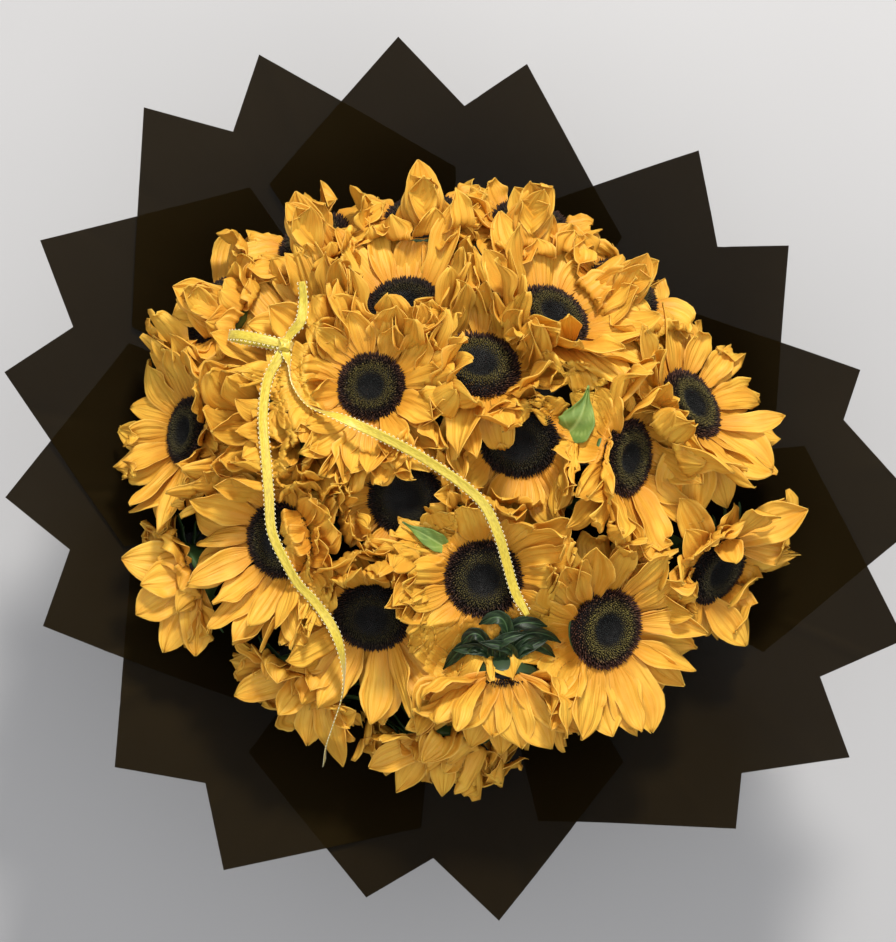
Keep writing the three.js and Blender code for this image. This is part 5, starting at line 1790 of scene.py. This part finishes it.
@dataclass(frozen=True)
class TopRibbon:
    """The narrow yellow ribbon over the blooms: a knot, a small loop, a short end, two tails."""

    knot: Point = (-114, 89, 30)
    left_tail: tuple = (
        (-119, 78, 31), (-125, 66, 30), (-128, 42, 29), (-126, 14, 28), (-124, -10, 27),
        (-122, -36, 26), (-114, -54, 26), (-105, -70, 25), (-94, -82, 24), (-81, -101, 25),
        (-75, -122, 27), (-76, -146, 27), (-83, -168, 24), (-89, -186, 17), (-91, -199, 9),
    )
    right_tail: tuple = (
        (-111, 76, 31), (-108, 62, 31), (-97, 48, 31), (-76, 40, 31), (-45, 26, 30), (-14, 9, 29),
        (17, -15, 28), (28, -36, 25), (34, -56, 21), (40, -76, 20), (48, -91, 22),
    )
    short_end: tuple = (
        (-110, 96, 32), (-103, 104, 36), (-101, 118, 40), (-102, 131, 45),
    )
    small_loop: tuple = (
        (-117, 90, 33), (-130, 93, 39), (-146, 96, 41), (-152, 96, 37), (-146, 94, 34),
        (-130, 91, 32), (-117, 88, 30),
    )
    # Each run, how far it is turned, and its turn on edge: radians, start, how long, and end.
    # An end of 9 is past the run, so the run stays turned.
    run_turns: tuple = (
        (left_tail, 0.0, (1.25, 0.62, 0.15, 9.0)), (right_tail, 0.0, (1.2, 0.02, 0.08, 0.42)),
        (short_end, 0.25, (0.0, 0.0, 1.0, 9.0)),
    )
    thickness: float = 0.4
    picot: float = 1.0  # how far a picot stands out of the ribbon's edge
    picot_step: float = 3.2
    knot_route: tuple = ((-5.5, -2, -2), (-3.5, 0, 3), (0, 1, 4.6), (3.5, 0, 3.4), (5.5, -2, -2))
    picot_half: float = 0.7  # half of a picot's length along the ribbon

    def runs(self) -> list[tuple[Array, Array]]:
        """Each run's middle line, and the direction across it.

        Returns:
            The line and the direction of each run.
        """
        made = []
        for points, lying, (most, start, rise, end) in self.run_turns:
            line = spline(over_dome((self.knot, *points)), 10)
            ahead = tangents(line)
            level = unit(np.cross(ahead, UP))
            share = np.linspace(0, 1, len(line))[:, None]
            on_edge = most * np.clip((share - start) / rise, 0, 1)
            on_edge = on_edge * np.clip((end - share) / 0.1, 0, 1)
            turn = 0.35 * np.sin(9 * share) + lying + on_edge
            made.append((line, level * np.cos(turn) + np.cross(level, ahead) * np.sin(turn)))
        loop = spline(over_dome(self.small_loop), 10)
        made.append((loop, np.tile([-0.15, -1.0, 0.0], (len(loop), 1))))
        return made

    def covers(self) -> Array:
        """Places that the ribbon covers: x, y, height and half width, one a row."""
        lines = np.vstack([line[::2] for line, _ in self.runs()])
        return np.column_stack([lines, np.full(len(lines), SATIN_WIDTH / 2 + 1.5)])

    def picots(self, line: Array, side: Array, maker: MeshMaker) -> None:
        """Add the tiny thread loops along both edges of a run.

        Args:
            line: The run's middle line.
            side: The direction across it.
            maker: Takes the faces.
        """
        steps = distances(line)
        places = np.arange(1.0, steps[-1] - 1.0, self.picot_step)
        at = np.stack([np.interp(places, steps, line[:, k]) for k in range(3)], axis=1)
        out = unit(np.stack([np.interp(places, steps, side[:, k]) for k in range(3)], axis=1))
        ahead = tangents(at)
        turn = np.linspace(0, np.pi, 5)
        for way in (-1, 1):
            for point, outward, forward in zip(at, out, ahead):
                edge = point + outward * way * (SATIN_WIDTH / 2 - 0.3)
                bow = edge + np.outer(np.sin(turn), outward) * way * self.picot
                bow = bow - np.outer(np.cos(turn), forward) * self.picot_half
                maker.add_tube(bow, 0.2, 4, along=0.0, across=0.0)

    def build(self, material: Material, glitter: Material) -> None:
        """Args:
            material: Finish of the satin.
            glitter: Finish of its edges.
        """
        maker, loops = MeshMaker(), MeshMaker()
        for line, side in self.runs():
            worn = np.interp(np.linspace(0, 1, len(line)), [0, 0.05, 0.93, 1], [0.7, 1, 1, 0.55])
            grid, marks = strip(line, side, SATIN_WIDTH * worn, 0.5, 7)
            maker.add_sheet(grid, self.thickness, **marks)
            self.picots(line, side, loops)
        knot = over_dome((self.knot,))[0]
        wrapped = knot + np.array(self.knot_route)
        crossed = knot + (wrapped - knot)[:, [1, 0, 2]] * [1, -1, 1]
        for points in (wrapped, crossed):
            route = spline(points, 6)
            ahead = tangents(route)
            side = unit(np.cross(ahead, route - knot))
            grid, marks = strip(route, side, SATIN_WIDTH, 0.7, 7)
            maker.add_sheet(grid, self.thickness, **marks)
        made = maker.piece("glitter_ribbon", Slot.RIBBON, material, "ribbon")
        edging = loops.piece("ribbon_picots", Slot.RIBBON, glitter)


# Wrap ----------------------------------------------------------------------------------------


@dataclass(frozen=True)
class Corner:
    """A corner of a sheet of film: compass angle, distance from the axis, and its two edges."""

    at: float
    reach: float
    ccw: float
    cw: float

    def point(self) -> Array:
        """The corner seen from above."""
        return on_circle(self.reach, self.at)[:2]

    def edge(self, turn: float) -> Array:
        """The direction of an edge that leaves the corner, seen from above."""
        return on_circle(1.0, self.at + 180 + turn)[:2]


SHEETS = tuple(tuple(Corner(*row) for row in rows) for rows in (
    ((34.8, 290, 35, 52), (53.3, 291, 37, 49)),
    ((80.1, 299, 48, 40), (97.3, 316, 50, 38)),
    ((114.8, 330, 45, 37), (130, 342, 45, 36)),
    ((150.2, 338, 41, 45), (166.8, 328, 44, 48)),
    ((182.5, 319, 43, 50), (199.8, 311, 43, 52)),
    ((220.4, 317, 52, 46), (239.5, 323, 49, 44)),
    ((258.1, 305, 49, 52), (275.7, 316, 46, 42)),
    ((308.7, 319, 46, 50), (324.7, 342, 36, 45), (340.2, 338, 45, 45)),
    ((355.5, 337, 45, 45), (374.9, 299, 36, 58)),
))


@dataclass
class FilmSheet:
    """One sheet of film, cut straight, that climbs over the next one like a shutter."""

    number: int
    corners: tuple[Corner, ...]  # anticlockwise
    margin: float = 25.0
    step: float = 0.045  # how far it climbs for each degree
    flare: float = 0.16  # how much further it climbs at its rim, for each degree
    thickness: float = 0.25
    crease: float = 0.7  # half of a crease's width, in degrees

    def __post_init__(self) -> None:
        """Find where the sheet starts and ends, and its creases."""
        first, last = self.corners[0].at, self.corners[-1].at
        self.start, self.end = first - self.margin, last + self.margin
        self.middle = (first + last) / 2
        chance = np.random.default_rng(400 + self.number)
        places = np.linspace(self.start + 9, self.end - 9, 5) + chance.uniform(-4, 4, 5)
        depths, starts = chance.uniform(-1.8, 1.8, 5), chance.uniform(190, 290, 5)
        self.creases = np.column_stack([places, depths, starts])

    def outline(self) -> list[Array]:
        """The cut edge seen from above: corners, with the notches between them.

        Returns:
            The points of the edge in order, in x and y.
        """
        first, last = self.corners[0], self.corners[-1]
        line = [meeting(first.point(), first.edge(first.cw), on_circle(1, self.start - 15)[:2])]
        for k, corner in enumerate(self.corners):
            line.append(corner.point())
            if k + 1 < len(self.corners):
                other = self.corners[k + 1]
                line.append(crossing(corner.point(), corner.edge(-corner.ccw), other.point(),
                                     other.edge(other.cw)))
        line.append(meeting(last.point(), last.edge(-last.ccw), on_circle(1, self.end + 15)[:2]))
        return line

    def reach(self, degrees: Array) -> Array:
        """Distance from the axis to the cut edge at compass angles.

        Args:
            degrees: The compass angles.

        Returns:
            The distances in mm.
        """
        line = self.outline()
        found = np.full(len(degrees), 9e9)
        for a, b in zip(line, line[1:]):
            for i, angle in enumerate(degrees):
                ray = on_circle(1, angle)[:2]
                whole = cross2(ray, b - a)
                if abs(whole) < 1e-9:
                    continue
                out, along = cross2(a, b - a) / whole, cross2(a, ray) / whole
                if out > 0 and -1e-6 <= along <= 1 + 1e-6:
                    found[i] = min(found[i], out)
        return found

    def columns(self) -> Array:
        """Compass angles of the sheet's folds, with its corners and notches among them.

        Returns:
            The angles in degrees.
        """
        corners = [math.degrees(math.atan2(p[1], p[0])) for p in self.outline()[1:-1]]
        corners = [(c - self.start) % 360 + self.start for c in corners]
        fine = np.append(np.arange(self.start, self.end + 0.01, 1.5), self.end)
        fine = np.sort(np.append(fine, [self.start + 0.08, self.end - 0.08]))
        beside = (-self.crease, 0.0, self.crease)
        sharp = np.concatenate([corners, *(self.creases[:, 0] + turn for turn in beside)])
        fine = np.array([a for a in fine if min(abs(a - c) for c in sharp) > 0.5])
        return np.unique(np.round(np.concatenate([fine, sharp]), 4))

    def surface(self) -> Array:
        """The sheet's upper face as (1, rows, columns, 3).

        Returns:
            The points.
        """
        degrees = self.columns()
        reach = self.reach(degrees)
        section = spline(np.array([(r, z, 0.0) for r, z in WRAP_SECTION]), 8)
        slope = np.linspace(0, 1, 60)
        slope = np.sort(np.append(slope, [0.0008, 0.9992]))  # keeps the cut edges crisp
        lengths = distances(section)
        grid = np.zeros((len(slope), len(degrees), 3))
        upper = section[:, 0].argmin()
        for j, (angle, far) in enumerate(zip(degrees, reach)):
            far = min(far, section[-1, 0] - 0.1)
            rim = np.interp(far, section[upper + 8 :, 0], lengths[upper + 8 :])
            at = rim * slope
            radius, height = (np.interp(at, lengths, section[:, k]) for k in (0, 1))
            above = at > lengths[upper]  # over the neck
            out = np.clip((radius - 120) / 220, 0, 1) * above
            turn = math.radians(angle)
            lift = (angle - self.middle) * (self.step + self.flare * out**1.5)
            lift = lift + out * (3.0 * math.sin(5 * turn + 0.6) + 2.0 * math.sin(11 * turn + 2.0))
            for place, depth, start in self.creases:
                fold = max(0.0, 1 - abs(angle - place) / self.crease)
                lift = lift + depth * fold * np.clip((radius - start) / 40, 0, 1) * above
            below = 1 - at / lengths[upper]
            flare = np.where(at < lengths[upper], 1.4 * np.sin(13 * turn) * below, 0)
            climb, spread = np.gradient(height), np.gradient(radius)
            run = np.maximum(np.hypot(climb, spread), 1e-6)
            grid[:, j] = on_circle(radius - (lift + flare) * (climb / run), angle,
                                   height + lift * (spread / run))
        return grid[None]

    def build(self, material: Material) -> None:
        """Make the sheet.

        Args:
            material: Its finish.
        """
        maker = MeshMaker()
        maker.add_sheet(self.surface()[:, :, ::-1], self.thickness)
        maker.piece(f"film_sheet_{self.number}", Slot.FILM, material, f"wrap_sheet_{self.number}")


def cross2(a: Array, b: Array) -> float:
    """The cross product of two flat vectors."""
    return float(a[0] * b[1] - a[1] * b[0])


def crossing(p: Array, along: Array, q: Array, other: Array) -> Array:
    """Where two straight lines cross, seen from above."""
    return p + along * (cross2(q - p, other) / cross2(along, other))


def meeting(p: Array, along: Array, ray: Array) -> Array:
    """Where a straight line meets a ray from the axis."""
    return crossing(p, along, np.zeros(2), ray)


# Studio --------------------------------------------------------------------------------------


@dataclass(frozen=True)
class Studio:
    """Plain pale floor, soft lights and the camera straight above the bunch."""

    camera_height: float = 1.9
    camera_at: tuple = (-0.0131, 0.0053)
    lens: float = 83.1
    floor_half: float = 6.0
    air: float = 0.45  # strength of the even light from all round

    def camera(self) -> None:
        """Set the camera at the photograph's viewing angle."""
        data = bpy.data.cameras.new("camera")
        data.lens = self.lens
        data.sensor_width = 36
        made = new_object("camera", data)
        made.location = (*self.camera_at, self.camera_height)
        bpy.context.scene.camera = made

    def floor(self) -> None:
        """Lay the paper under the bunch."""
        mesh = bpy.data.meshes.new("studio_floor")
        ways = ((-1, -1), (1, -1), (1, 1), (-1, 1))
        corners = [(x * self.floor_half, y * self.floor_half, 0) for x, y in ways]
        mesh.from_pydata(corners, [], [(0, 1, 2, 3)])
        mesh.materials.append(StudioFloor().build())
        new_object("studio_floor", mesh)

    def lamp(self, name: str, size: float, watts: float, place: Point,
             colour: str) -> None:
        """Hang a soft lamp that faces the bunch.

        Args:
            name: Name of the lamp.
            size: Width of its square face.
            watts: Its power.
            place: Where it hangs.
            colour: sRGB hex colour of its light.
        """
        data = bpy.data.lights.new(name, "AREA")
        data.shape = "SQUARE"
        data.size = size
        data.energy = watts
        data.color = linear(colour)[:3]
        made = new_object(name, data)
        made.location = place
        aim = np.array([0.0, 0.0, 0.35]) - np.array(place)
        made.rotation_mode = "QUATERNION"
        made.rotation_quaternion = Vector(aim).to_track_quat("-Z", "Y")

    def build(self) -> None:
        """Set up the whole studio."""
        self.camera()
        self.floor()
        self.lamp("key_light", 0.3, 62.0, (0.3, 1.45, 1.95), "#FFFBF4")
        self.lamp("top_light", 2.5, 40.0, (0.0, -0.2, 2.8), "#FFFFFF")
        world = bpy.data.worlds.new("studio_air")
        world.use_nodes = True
        air = world.node_tree.nodes["Background"]
        air.inputs[0].default_value = (1, 1, 1, 1)
        air.inputs[1].default_value = self.air
        bpy.context.scene.world = world
        bpy.context.scene.view_settings.view_transform = "Standard"


# Build ---------------------------------------------------------------------------------------


def build_blooms() -> None:
    """Make every bloom's petals and disc."""
    petal, disc = RayFloretTissue().build(), DiscFloretTissue().build()
    ribbon = TopRibbon().covers()
    groups: dict[str, list[Bloom]] = {}
    for bloom in BLOOMS:
        key = "_".join(TANGLED) if bloom.name in TANGLED else bloom.name
        groups.setdefault(key, []).append(bloom)
    for key, blooms in groups.items():
        maker = MeshMaker()
        for bloom in blooms:
            ring = RayRing(bloom)
            over = LEAVES if bloom.name == "16" else LEAVES + TUFT
            covers = np.vstack([ribbon, *(leaf.covers() for leaf in over)])
            grid, marks = ring.shape()
            maker.add_sheet(press_under(grid, covers), ring.thickness(), **marks)
        maker.piece(f"rays_{key}", Slot.PETAL, petal, f"petals_{key}")
    for bloom in BLOOMS:
        if bloom.name == CLOSED:
            continue
        maker = MeshMaker()
        made = FloretDisc(bloom)
        made.dome(maker)
        made.florets(maker)
        maker.piece(f"florets_{bloom.name}", Slot.DISC, disc, f"disc_{bloom.name}")


def build_greens() -> None:
    """Make the stems, calyx cups, bracts and leaves."""
    green = GreenTissue().build()
    StemBundle().build(green)
    cups, tuft = MeshMaker(), MeshMaker()
    for bloom in BLOOMS:
        calyx = Calyx(bloom)
        calyx.cup(tuft if bloom.name == "16" else cups)
        calyx.bracts(cups)
    cups.piece("calyx_cups", Slot.GREEN, green, "stems")
    leaves = MeshMaker()
    for leaf in LEAVES:
        leaf.build(leaves)
    fresh = GreenTissue("leaf_tissue", "#4A6428", "#7A9244", "#B0C078").build()
    leaves.piece("leaves", Slot.GREEN, fresh, "stems")
    for leaf in TUFT:
        leaf.build(tuft)
    # A darker copy of the green tissue for the tuft: partly older, darker bracts and partly painted
    # shade.
    shaded = GreenTissue("bract_tissue_with_painted_shade", "#0A120C", "#1E3219", "#5C7A48").build()
    tuft.piece("bract_tuft", Slot.GREEN, shaded, "stems")


def build_ties() -> None:
    """Make the string, the tie round the wrap and the ribbon over the blooms."""
    satin = SatinRibbon("yellow_satin", "#BEA82E", "#CABA4E", "#A8942C")
    glitter = SatinRibbon("glitter_thread", "#EDE6BE", "#FBF8E6", "#C8BC80", roughness=0.25)
    StringBinding().build(JuteString().build())
    WrapTie().build(satin.build())
    TopRibbon().build(bpy.data.materials[satin.name], glitter.build())


def main() -> None:
    """Build the studio and every part of the bunch, and log each piece's points and faces."""
    logging.basicConfig(level=logging.INFO, format="%(message)s")
    Studio().build()
    raise_walls(BLOOMS)
    build_ties()
    build_blooms()
    build_greens()
    film = FloristFilm().build()
    for number, corners in enumerate(SHEETS, 1):
        FilmSheet(number, corners).build(film)


if __name__ == "__main__":
    main()
